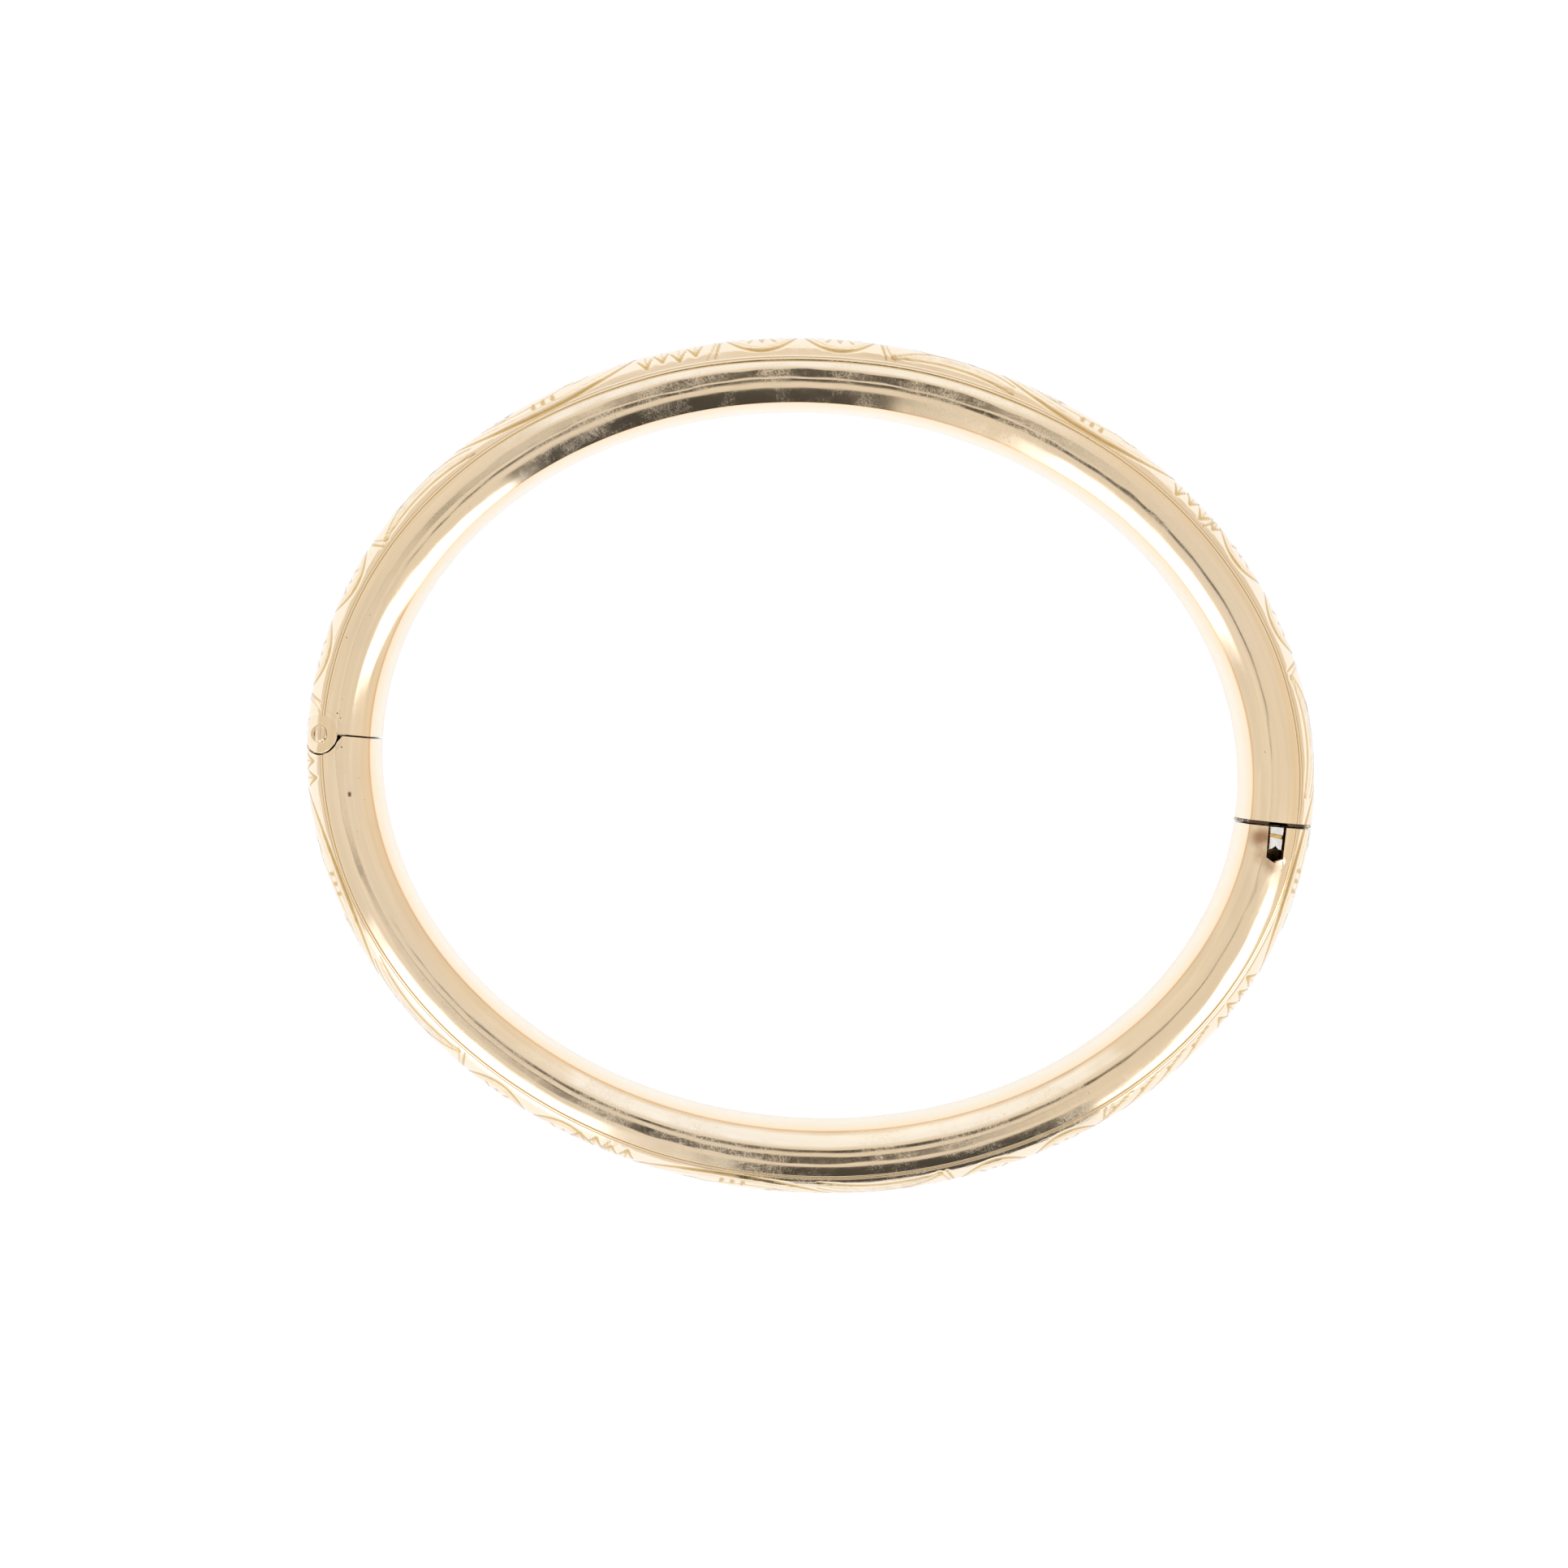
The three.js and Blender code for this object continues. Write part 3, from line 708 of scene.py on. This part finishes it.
engraved_gold, shader, place, unrolled = begin_finish("engraved_gold")
cuts = painted(engraved_gold, "cut")
out_from_middle = unrolled.part("Y").math("ABSOLUTE")
in_band = 1 - out_from_middle.rises(2.95, 3.05)
shading_rows = (unrolled.part("Y") * 26.0 + noise(place, 260.0) * 9.0).math("SINE")
shading = shading_rows * in_band * out_from_middle.rises(1.2, 2.6) * noise(place, 420.0).rises(0.42, 0.6)
fine = hairlines(unrolled, 12, 3.5, 0.05, 0.05) + hairlines(unrolled, 103, 1.1, 0.06, 0.05)
crossed = hairlines(unrolled, 64, 1.4, 0.07, 0.04) + hairlines(unrolled, -38, 1.8, 0.07, 0.04)
worn = noise(place, 190.0, 4.0).rises(0.35, 0.65)
rubbed = place.part("Y").math("ABSOLUTE").rises(0.014, 0.021)
patchy = noise(place, 420.0, 3.0).rises(0.4, 0.62)
scratches = (fine + crossed) * (rubbed * 0.85 + 0.15) * (patchy * 0.8 + 0.2)
pits = noise(place, 4200.0, 1.0).rises(0.79, 0.82)
seam_line = out_from_middle.rises(6.42, 6.56)
above = place.part("Z").rises(4.5 * MM, 5.2 * MM)
stain = spots_at(place, HEAT_STAIN) * (noise(place, 900.0, 5.0).rises(0.2, 0.6) * 0.7 + 0.3)
stain = stain * above
knock = spots_at(place, KNOCK_MARK)
pinholes = spots_at(place, PINHOLES)
solder_ring = from_axis(place, PIN.x, PIN.y).near(1.62 * MM, 0.04 * MM, 0.05 * MM)
colour = noise(place, 60.0, 3.0).rises(0.35, 0.65).blend(POLISHED, (0.95, 0.76, 0.52, 1))
colour = cuts.rises(0.05, 0.75).blend(colour, CUT_GOLD)
colour = (seam_line * 0.8).blend(colour, COPPERY)
colour = (stain * 0.85).blend(colour, TARNISH)
colour = (solder_ring * 0.35).blend(colour, COPPERY)
colour = (pits * 0.6 + (pinholes + knock * 0.9) * above).blend(colour, SOOT_AND_GAP_SHADE)
# Painted shade: the shell's sawn ends, in the gap between the halves, are coloured near black
colour = shaded_sawn_ends(place).blend(colour, SOOT_AND_GAP_SHADE)
relief = scratches * 0.12 + shading * 1.3 + noise(place, 700.0, 3.0) * 1.2 - solder_ring * 3.0 - pits * 3.0
bump = bumped(place, 0.5, 2.0e-6, relief)
feed(
    shader,
    Base_Color=colour,
    Metallic=1.0,
    Roughness=worn * 0.05 + scratches * 0.2 + cuts * 0.06 + stain * 0.25 + 0.07,
    Normal=bump,
)

for half, side in HALVES:
    node = half + "_outer_shell"
    shell = finished(half + "_engraved_shell", shell_mesh(node, side), [engraved_gold])
    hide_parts(node)
    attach(shell, half)

# ---------------------------------------------------------------------------------------
# Inner linings: the thin sheet that closes each half on the wrist side, bulging a little
# towards the wrist. Rolled to the oval and soldered to the shell along both edges.

LINING_BULGE = 0.2 * MM
LINING_COLUMNS = 420


def lining_mesh(name, side):
    """One lining as a closed loop of rows carried from hinge to clasp.

    The worn face bows towards the wrist by the bulge times one minus the square of the place
    across. The hidden face runs straight between the inner edges of the shell.
    """
    across = np.linspace(-1, 1, 15)
    worn_out = DOME * np.cos(CORNER_ANGLE) - LINING_BULGE * (1 - across**2)
    worn_up = HALF_HEIGHT * np.sin(CORNER_ANGLE) * across
    back = across[::7]
    back_out = (DOME - WALL) * np.cos(CORNER_ANGLE) + 0 * back
    back_up = (HALF_HEIGHT - WALL) * np.sin(CORNER_ANGLE) * back
    outward = np.concatenate((worn_out, back_out[::-1]))
    height = np.concatenate((worn_up, back_up[::-1]))
    level = half_levels(side)
    clasp_end = end_angle(outward, level[1], True)
    hinge_end = end_angle(outward, level[0], False) - (0 if side > 0 else 2 * np.pi)
    share = np.linspace(0, 1, LINING_COLUMNS)[:, None]
    angle = hinge_end + (clasp_end - hinge_end) * share
    along = arc_at(angle)
    up = np.broadcast_to(height / MM, along.shape)
    ripple = 0.012 * np.sin(along * 0.7 + up) + 0.006 * np.sin(along * 2.1 - up * 1.7)
    bowed = np.concatenate((1 - across**2, 0 * back))
    x, y = on_oval(angle, outward + ripple * MM * bowed)
    grid = np.stack([x, y, MIDDLE_Z + up * MM], -1)
    place = np.arange(along.size).reshape(along.shape)
    faces = sleeve(place, True) + [place[0].tolist(), place[-1][::-1].tolist()]
    return build_mesh(name, grid, faces, np.stack([along, up], -1), side < 0)


lining_gold, shader, place, unrolled = begin_finish("lining_gold")
rubbed = hairlines(unrolled, 4, 5.0, 0.07, 0.05) + hairlines(unrolled, 88, 1.2, 0.06, 0.04)
cloud = noise(place, 160.0, 4.0)
from_middle = unrolled.part("Y").math("ABSOLUTE")
near_seam = from_middle.rises(0.2, 2.3) * 0.45 + from_middle.rises(2.02, 2.28) * 0.55
colour = cloud.blend((0.97, 0.83, 0.60, 1), (0.96, 0.79, 0.53, 1))
colour = near_seam.blend(colour, (0.95, 0.66, 0.34, 1))
# Painted shade: the lining's sawn ends, in the gap between the halves, are coloured near black
colour = shaded_sawn_ends(place).blend(colour, SOOT_AND_GAP_SHADE)
relief = rubbed * 0.6 + cloud * 2.0
bump = bumped(place, 0.5, 1.6e-6, relief)
feed(
    shader,
    Base_Color=colour,
    Metallic=1.0,
    Roughness=cloud * 0.1 + 0.2,
    Normal=bump,
)

for half, side in HALVES:
    node = half + "_inner_lining"
    lining = finished(half + "_bowed_lining", lining_mesh(node, side), [lining_gold], 50)
    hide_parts(node)
    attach(lining, half)

# ---------------------------------------------------------------------------------------
# End caps: flat plates soldered just inside the tube's ends. The catch half's clasp cap is the
# mouth plate, with a window for the tongue. Their faces are dull with flux and handling, the
# clasp's darkest of all, and the solder stands proud of the tongue's cap in lumps.

SLIDE_GAP = 0.12 * MM
CAP_INSET = 0.34 * MM
CAP_SET_BACK = 0.03 * MM
SOLDER_RISE = 0.25 * MM
THUMB_ROOM = 0.06 * MM
leaf_low, leaf_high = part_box("snap_spring_leaf")
tongue_low, tongue_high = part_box("snap_tongue_base")
LEAF_THICKNESS = tongue_high.z - tongue_low.z


def rim_points(level, near_clasp, first, last, count, inset=CAP_INSET):
    """Points just inside the tube's wall between two dome angles, at a level in Y."""
    dome = np.linspace(first, last, count)
    outward = (DOME - inset) * np.cos(dome)
    height = (HALF_HEIGHT - inset) * np.sin(dome)
    x, y = on_oval(end_angle(outward, level, near_clasp), outward)
    return np.stack([x, 0 * y + level, MIDDLE_Z + height], -1)


def wrist_points(level, near_clasp, inset=CAP_INSET):
    """Points just inside the lining from its upper seam to its lower one, at a level in Y."""
    across = np.linspace(1, -1, 15)[1:-1]
    outward = (DOME - inset) * np.cos(CORNER_ANGLE) + 0 * across
    x, y = on_oval(end_angle(outward, level, near_clasp), outward)
    height = (HALF_HEIGHT - inset) * np.sin(CORNER_ANGLE) * across
    return np.stack([x, 0 * y + level, MIDDLE_Z + height], -1)


def dome_angle_at(x, level, near_clasp):
    """The dome angle of a cap's rim at an X, at a level in Y."""
    at_level = end_angle(np.array([0.0]), level, near_clasp)
    crown_x, _ = on_oval(at_level, 0.0)
    return float(np.arccos(np.clip((abs(x) - abs(crown_x[0])) / (DOME - CAP_INSET), -1, 1)))


def clasp_cap_outline(level, inset=CAP_INSET):
    rim = rim_points(level, True, -CORNER_ANGLE, CORNER_ANGLE, 120, inset)
    return np.concatenate((rim, wrist_points(level, True, inset)))


def hinge_cap_outline(level, seat):
    """The cap's outline at the hinge, which stops at the round seat of the knuckles."""
    seat_x = PIN.x + np.sqrt(seat**2 - (level - PIN.y) ** 2)
    start = dome_angle_at(seat_x, level, False)
    upper = rim_points(level, False, start, CORNER_ANGLE, 18)
    lower = rim_points(level, False, -CORNER_ANGLE, -start, 18)
    return np.concatenate((upper, wrist_points(level, False), lower))


def mouth_outline(level):
    """The mouth plate's outline: the rim, then down the thumb piece's slit and round the window."""
    right = dome_angle_at(THUMB_X + SLOT_HALF, level, True)
    left = dome_angle_at(THUMB_X - SLOT_HALF, level, True)
    outside = rim_points(level, True, right, -CORNER_ANGLE, 48)
    wrist = wrist_points(level, True)[::-1]
    crown = rim_points(level, True, CORNER_ANGLE, left, 12)
    window = (tongue_high.x - tongue_low.x) / 2 + SLIDE_GAP
    top, bottom = leaf_high.z - LEAF_THICKNESS, tongue_low.z - SLIDE_GAP
    aside = np.array([-SLOT_HALF, -window, -window, window, window, SLOT_HALF])
    heights = np.array([top, top, bottom, bottom, top, top])
    opening = np.stack([THUMB_X + aside, level + 0 * aside, heights], -1)
    return np.concatenate((outside, wrist, crown, opening))[::-1]


def cap_mesh(name, face, back, outline, rise=0.0):
    """A plate between two outlines. A rise adds a disc of solder, flooded out to the tube's skin.

    The disc's rim is lumpy: it stands in from the skin by a slow wave round the outline. Where
    the thumb piece swings towards the cap, the solder is scraped off.
    """
    front, rear = outline(face), outline(back)
    count = len(front)
    turned = 1 if face > back else -1
    rings = [rear, front]
    centre = front.mean(0)
    place_round = np.linspace(0, 2 * np.pi, count, endpoint=False)
    lumps = 0.5 + 0.3 * np.sin(place_round * 17 + 1) + 0.2 * np.sin(place_round * 29)
    flooded = [(-0.14, 0.1), (-0.15, 0.45), (-0.14, 0.8), (-0.1, 1.0)]
    flooded += [(inward, 1.0) for inward in (0.0, 0.15, 0.3, 0.42, 0.54, 0.66, 0.78, 0.9)]
    for inward, share in flooded if rise else ():
        spread = inward + 0.03 * lumps * (inward < 0)
        ring = front + (centre - front) * spread[:, None]
        aside = np.abs(ring[:, 0] - THUMB_X)
        in_the_way = (aside < SLOT_HALF + THUMB_ROOM) & (ring[:, 2] > thumb_low.z - 0.5 * MM)
        thick = rise * share * (0.85 + 0.15 * lumps) * np.where(in_the_way, 0.06, 1.0)
        ring[:, 1] = face + turned * thick
        rings.append(ring)
    points = np.concatenate(rings)
    place = np.arange(len(points)).reshape(-1, count)
    faces = sleeve(place) + [place[0][::-1].tolist(), place[-1].tolist()]
    along = arc_at(np.arctan2(points[:, 1] / CROWN_Y, points[:, 0] / CROWN_X))
    return build_mesh(name, points, faces, np.stack([along, points[:, 2] / MM], -1), turned < 0)


def plate_finish(name, fresh, dull, dullness):
    """Soldered plate: filed gold under a patchy film, thickest where the noise is high."""
    finish, shader, place, _ = begin_finish(name)
    cloud = noise(place, 700.0, 5.0)
    film = cloud.rises(0.62 - dullness, 0.8 - dullness)
    filed = drawn_noise(place, (1, 1, 14), 1500.0)
    bump = bumped(place, 0.6, 6e-6, filed + cloud * 2.0)
    feed(
        shader,
        Base_Color=film.blend(fresh, dull),
        Metallic=1 - film * 0.35,
        Roughness=film * 0.25 + 0.28,
        Normal=bump,
    )
    return finish


cap_gold = plate_finish("cap_gold", (0.86, 0.63, 0.33, 1), (0.34, 0.20, 0.09, 1), 0.15)
clasp_face = plate_finish("clasp_face", (0.78, 0.54, 0.23, 1), (0.075, 0.038, 0.016, 1), 0.2)

CAPS = (
    ("tongue_half_hinge_cap", "tongue_half", -1, cap_gold),
    ("catch_half_hinge_cap", "catch_half", 1, cap_gold),
    ("tongue_half_clasp_cap", "tongue_half", -1, clasp_face),
    ("catch_half_mouth_plate", "catch_half", 1, clasp_face),
)
for node, half, faces_to, face_finish in CAPS:
    low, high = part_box(node)
    face, back = (high.y, low.y) if faces_to > 0 else (low.y, high.y)
    face = face - faces_to * CAP_SET_BACK * node.endswith("hinge_cap")
    outline, rise = clasp_cap_outline, 0.0
    if node.endswith("hinge_cap"):
        seat = KNUCKLE + SEAT_GAP[-faces_to]
        outline = lambda level, seat=seat: hinge_cap_outline(level, seat)
    elif node.endswith("mouth_plate"):
        outline = mouth_outline
    else:
        rise = SOLDER_RISE
    name = node.replace("_mouth_plate", "_clasp_cap").replace("cap", "end_plate")
    cap = finished(name, cap_mesh(node, face, back, outline, rise), [face_finish])
    soften_edges(cap, "filed_edge", 0.03 * MM)
    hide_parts(node)
    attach(cap, half)

# ---------------------------------------------------------------------------------------
# Hinge: two gold knuckles soldered to the tongue half and filed to the tube's curve, one
# between them on the catch half, and a pin riveted flush through all three. The pin's ends
# are brushed by the file.

HEAD_GAP = 0.035 * MM
PIN_RADIUS = 0.4 * MM
HEAD_DEPTH = 0.55 * MM
HEAD_SWELL = 0.055 * MM
HEAD_ROUND = 0.0495 * MM
KNUCKLE_SIDES = 96
pin_low, pin_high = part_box("hinge_pin")
HEAD_RADIUS = (pin_high.x - pin_low.x) / 2


def over_hinge(x, y):
    """The tube's top over a point by the hinge, and how far out from the crown line it lies.

    There the oval is close to a circle of its own curvature, so the distance out is the
    distance from that circle's centre less its radius. The engraver's cuts sink it.
    """
    bend = CROWN_Y**2 / CROWN_X
    outward = np.hypot(x + CROWN_X - bend, y) - bend
    share = np.clip(outward / DOME, -1, 1)
    along = arc_at(np.arctan2(y / CROWN_Y, x / CROWN_X))
    sunk = cut_depth(along, MEAN_RADIUS * np.arccos(share)) * MM
    height = np.minimum(HALF_HEIGHT * np.sqrt(1 - share**2), shell_high.z - MIDDLE_Z)
    return height - sunk, outward


def over_pin(radius, turn):
    """The same at a radius and an angle round the pin."""
    return over_hinge(PIN.x + radius * np.cos(turn), PIN.y + radius * np.sin(turn))


def turned_mesh(name, radii, heights, closed, upper):
    """A surface of revolution round the pin's axis, its radii and heights free to vary by angle.

    Rows run along the profile. An open profile is closed by a polygon at each end, and the
    lower one of a pair is the upper one turned over about the tube's middle.
    """
    turn = np.linspace(0, 2 * np.pi, radii.shape[0], endpoint=False)[:, None]
    x, y = PIN.x + radii * np.cos(turn), PIN.y + radii * np.sin(turn)
    sign = 1 if upper else -1
    points = np.stack([x, y, MIDDLE_Z + sign * heights], -1)
    place = np.arange(radii.size).reshape(radii.shape)
    after = np.roll(place, -1, 0)
    quads = np.stack([place, after, np.roll(after, -1, 1), np.roll(place, -1, 1)], -1)
    ends = []
    if not closed:
        quads = quads[:, :-1]
        ends = [place[::-1, 0].tolist(), place[:, -1].tolist()]
    faces = quads.reshape(-1, 4).tolist() + ends
    return build_mesh(name, points, faces, np.stack([x / MM, y / MM], -1), not upper)


def knuckle_mesh(name, upper):
    """A filed knuckle: a barrel from its inner end up to the tube's surface, bored for the pin.

    Its radius is the barrel's, or less where the tube's outside cuts in below the inner end.
    """
    low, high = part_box("hinge_knuckle_upper")
    inner_end = low.z - MIDDLE_Z
    widest = DOME * np.sqrt(1 - ((inner_end + 0.04 * MM) / HALF_HEIGHT) ** 2)
    turn = np.linspace(0, 2 * np.pi, KNUCKLE_SIDES, endpoint=False)
    radius = np.full(KNUCKLE_SIDES, KNUCKLE)
    for _ in range(40):
        _, outward = over_pin(radius, turn)
        radius = radius - np.clip(outward - widest, 0, None) * 0.6
    hole = HEAD_RADIUS + HEAD_GAP
    shares = np.array([1.0, 0.985, 0.95, 0.88, 0.75, 0.6, 0.45, 0.3, 0.15, 0.05, 0.0])
    top_radii = hole + (radius[:, None] - hole) * shares
    turn = turn[:, None]
    top, _ = over_pin(top_radii, turn)
    rounding = 0.035 * MM * np.array([1.0, 0.45, 0.05, 0, 0, 0, 0, 0, 0, 0.2, 1.0])
    free = np.clip(0.25 - np.sin(turn), 0, 1)
    top = np.maximum(top - rounding * free, inner_end + 0.01 * MM)
    seat = pin_high.z - MIDDLE_Z - HEAD_DEPTH
    around = np.ones((KNUCKLE_SIDES, 1))
    bore = PIN_RADIUS + HEAD_GAP
    radii = np.concatenate((radius[:, None], top_radii, hole * around, bore * around, bore * around), 1)
    ends = (inner_end * around, top, seat * around, seat * around, inner_end * around)
    heights = np.concatenate(ends, 1)
    return turned_mesh(name, radii, heights, True, upper)


def pin_mesh(name):
    """The pin: a shank with a head at each end, each head swelling a little over the surface."""
    turn = np.linspace(0, 2 * np.pi, KNUCKLE_SIDES, endpoint=False)[:, None]
    across = np.array([0.02, 0.3, 0.6, 0.8, 0.92, 0.98, 1.0])
    head = HEAD_RADIUS * across
    over, _ = over_pin(head, turn)
    rivet = over + HEAD_SWELL * (1 - across**2) - HEAD_ROUND * np.clip(across - 0.9, 0, 1) / 0.1
    seat = pin_high.z - MIDDLE_Z - HEAD_DEPTH + 0.01 * MM
    around = np.ones((KNUCKLE_SIDES, 1))
    upper_radii = np.concatenate((head + 0 * turn, HEAD_RADIUS * around, PIN_RADIUS * around), 1)
    upper_heights = np.concatenate((rivet, seat * around, seat * around), 1)
    radii = np.concatenate((upper_radii, upper_radii[:, ::-1]), 1)[:, ::-1]
    heights = np.concatenate((upper_heights, -upper_heights[:, ::-1]), 1)[:, ::-1]
    return turned_mesh(name, radii, heights, False, True)


hinge_gold, shader, place, _ = begin_finish("hinge_gold")
brushed = drawn_noise(place, (22, 1.2, 6), 700.0, 3.0)
spots = noise(place, 3000.0, 2.0).rises(0.7, 0.76)
worn = noise(place, 900.0, 4.0)
colour = worn.blend((0.93, 0.75, 0.50, 1), (0.88, 0.68, 0.42, 1))
colour = (spots * 0.5).blend(colour, TARNISH)
bump = bumped(place, 0.5, 2e-6, brushed + worn - spots)
feed(shader, Base_Color=colour, Metallic=1.0, Roughness=worn * 0.1 + 0.1, Normal=bump)

rivet_gold, shader, place, _ = begin_finish("rivet_gold")
brushed = drawn_noise(place, (16, 1.0, 1), 900.0)
colour = brushed.rises(0.4, 0.65).blend((0.92, 0.74, 0.50, 1), (0.72, 0.52, 0.32, 1))
bump = bumped(place, 0.5, 2.5e-6, brushed)
feed(shader, Base_Color=colour, Metallic=1.0, Roughness=brushed * 0.2 + 0.12, Normal=bump)

for node, upper in (("hinge_knuckle_upper", True), ("hinge_knuckle_lower", False)):
    knuckle = finished(node.replace("hinge", "filed"), knuckle_mesh(node, upper), [hinge_gold])
    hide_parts(node)
    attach(knuckle, "tongue_half")

pin = finished("riveted_pin", pin_mesh("hinge_pin"), [rivet_gold])
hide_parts("hinge_pin")
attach(pin, "tongue_half")

frame["nodes"]["hinge_knuckle_centre"].material_slots[0].material = hinge_gold

# ---------------------------------------------------------------------------------------
# Snap tongue: a brass strip folded back on itself. Its lower leaf is soldered to the cap of
# the tongue half, and its upper one springs up behind the mouth plate and carries the thumb
# piece, a pale filed block with a nail groove across it and a notch in its end.

THUMB_ROUND = 0.11 * MM
THUMB_NOTCH = 0.24 * MM
NAIL_GROOVE_IN = 0.64 * MM
NAIL_GROOVE_HALF = 0.15 * MM
NAIL_GROOVE_DEPTH = 0.13 * MM


def strip_mesh(name, low, high, rise):
    """A flat strip along Y, LEAF_THICKNESS thick, whose height climbs from its tip to its root.

    Its section along the tongue is a straight wedge line with a rounded tip: the height over
    the tip is the rise times the place along it.
    """
    half = LEAF_THICKNESS / 2
    along = np.linspace(0, 1, 24)
    y = low.y + half + (high.y - low.y - half) * along
    middle = low.z + half + rise * along
    nose = np.linspace(-np.pi / 2, -3 * np.pi / 2, 10)[1:-1]
    nose_y = y[0] + half * np.cos(nose)
    nose_z = middle[0] + half * np.sin(nose)
    loop_y = np.concatenate((y[::-1], nose_y, y))
    loop_z = np.concatenate(((middle - half)[::-1], nose_z, middle + half))
    across = np.array([low.x, high.x])[:, None]
    points = np.stack([across + 0 * loop_y, loop_y + 0 * across, loop_z + 0 * across], -1)
    count = len(loop_y)
    place = np.arange(2 * count).reshape(2, count)
    faces = sleeve(place, True) + [place[0].tolist(), place[1][::-1].tolist()]
    return build_mesh(name, points, faces, points[..., :2] / MM)


def thumb_mesh(name):
    """The thumb piece as one cushion: a grid over its top, carried down as skirts to its foot.

    Its height is the top's, less a quarter round within THUMB_ROUND of an edge and less a V
    across its middle. Its far end is drawn in by the notch, deepest on its middle line.
    """
    low, high = thumb_low, thumb_high
    s = np.linspace(-1, 1, 33)[:, None]
    t = np.linspace(0, 1, 49)[None, :]
    half = (high.x - low.x) / 2
    narrowed = half * (1 - 0.1 * t)
    x = THUMB_X + s * narrowed
    end = low.y + THUMB_NOTCH * np.clip(1 - np.abs(s) / 0.55, 0, 1)
    y = high.y + (end - high.y) * t
    near = np.minimum(narrowed * (1 - np.abs(s)), (high.y - end) * np.minimum(t, 1 - t))
    inside = np.clip(1 - near / THUMB_ROUND, 0, 1)
    fall = THUMB_ROUND * (1 - np.sqrt(1 - inside**2))
    groove = high.y - NAIL_GROOVE_IN - 0.05 * s * MM
    cut = np.clip(1 - np.abs(y - groove) / NAIL_GROOVE_HALF, 0, 1)
    dents = 0.02 * np.sin(x / MM * 7.0 + y / MM * 3.0) * np.sin(y / MM * 6.1 + 1.0)
    z = high.z - fall - NAIL_GROOVE_DEPTH * np.minimum(cut * 1.6, 1) + dents * MM
    top = np.stack(np.broadcast_arrays(x, y, z), -1)
    rows, columns = top.shape[:2]
    place = np.arange(rows * columns).reshape(rows, columns)
    faces = np.stack([place[:-1, :-1], place[:-1, 1:], place[1:, 1:], place[1:, :-1]], -1)
    edge = np.concatenate((place[:, 0], place[-1, 1:], place[-2::-1, -1], place[0, -2:0:-1]))
    foot = top.reshape(-1, 3)[edge].copy()
    foot[:, 2] = low.z
    base = np.arange(len(edge)) + rows * columns
    skirt = np.stack([edge, np.roll(edge, -1), np.roll(base, -1), base], -1)
    every = faces.reshape(-1, 4).tolist() + skirt.tolist() + [base.tolist()]
    points = np.concatenate((top.reshape(-1, 3), foot))
    mesh = build_mesh(name, points, every, points[:, :2] / MM, True)
    paint(mesh, "cut", np.concatenate((np.broadcast_to(cut, (rows, columns)).ravel(), 0.0 * edge)))
    return mesh


clasp_brass, shader, place, _ = begin_finish("clasp_brass")
drawn = drawn_noise(place, (14, 1, 14), 500.0, 3.0)
film = noise(place, 600.0, 5.0).rises(0.42, 0.68)
bump = bumped(place, 0.6, 4e-6, drawn)
feed(
    shader,
    Base_Color=film.blend((0.72, 0.50, 0.22, 1), (0.25, 0.14, 0.06, 1)),
    Metallic=1 - film * 0.2,
    Roughness=drawn * 0.15 + film * 0.2 + 0.2,
    Normal=bump,
)

thumb_gold, shader, place, unrolled = begin_finish("thumb_gold")
groove = painted(thumb_gold, "cut")
rubbed = hairlines(unrolled, 25, 0.5, 0.03, 0.06) + hairlines(unrolled, -50, 0.4, 0.03, 0.05)
patch = noise(place, 1500.0, 4.0)
colour = patch.rises(0.35, 0.7).blend((0.97, 0.945, 0.90, 1), (0.86, 0.82, 0.75, 1))
colour = groove.rises(0.15, 0.55).blend(colour, (0.80, 0.55, 0.20, 1))
colour = (patch.rises(0.68, 0.72) * 0.6).blend(colour, TARNISH)
bump = bumped(place, 0.6, 4e-6, rubbed * 0.5 + patch * 2.0)
feed(shader, Base_Color=colour, Metallic=1.0, Roughness=patch * 0.2 + 0.22, Normal=bump)

leaf_rise = leaf_high.z - leaf_low.z - LEAF_THICKNESS
for node, name, body, low, high, rise in (
    ("snap_tongue_base", "folded_tongue_lower", "tongue_half", tongue_low, tongue_high, 0.0),
    ("snap_spring_leaf", "folded_tongue_upper", "snap_spring", leaf_low, leaf_high, leaf_rise),
):
    leaf = finished(name, strip_mesh(node, low, high, rise), [clasp_brass], 40)
    soften_edges(leaf, "sheared_edge", 0.04 * MM)
    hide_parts(node)
    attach(leaf, body)

thumb = finished("grooved_thumb_piece", thumb_mesh("snap_thumb_piece"), [thumb_gold], 60)
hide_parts("snap_thumb_piece")
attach(thumb, "snap_spring")

# ---------------------------------------------------------------------------------------
# Catch box: the folded brass channel soldered behind the mouth plate, which guides the
# tongue. Only its inside shows, down the thumb slot and through the mouth, and it is dark.

dark_brass, shader, place, _ = begin_finish("dark_brass")
film = noise(place, 800.0, 5.0)
bump = bumped(place, 0.6, 6e-6, film)
feed(
    shader,
    Base_Color=film.rises(0.4, 0.72).blend((0.06, 0.032, 0.014, 1), (0.34, 0.2, 0.08, 1)),
    Metallic=0.8,
    Roughness=film * 0.3 + 0.35,
    Normal=bump,
)
frame["nodes"]["catch_box"].material_slots[0].material = dark_brass
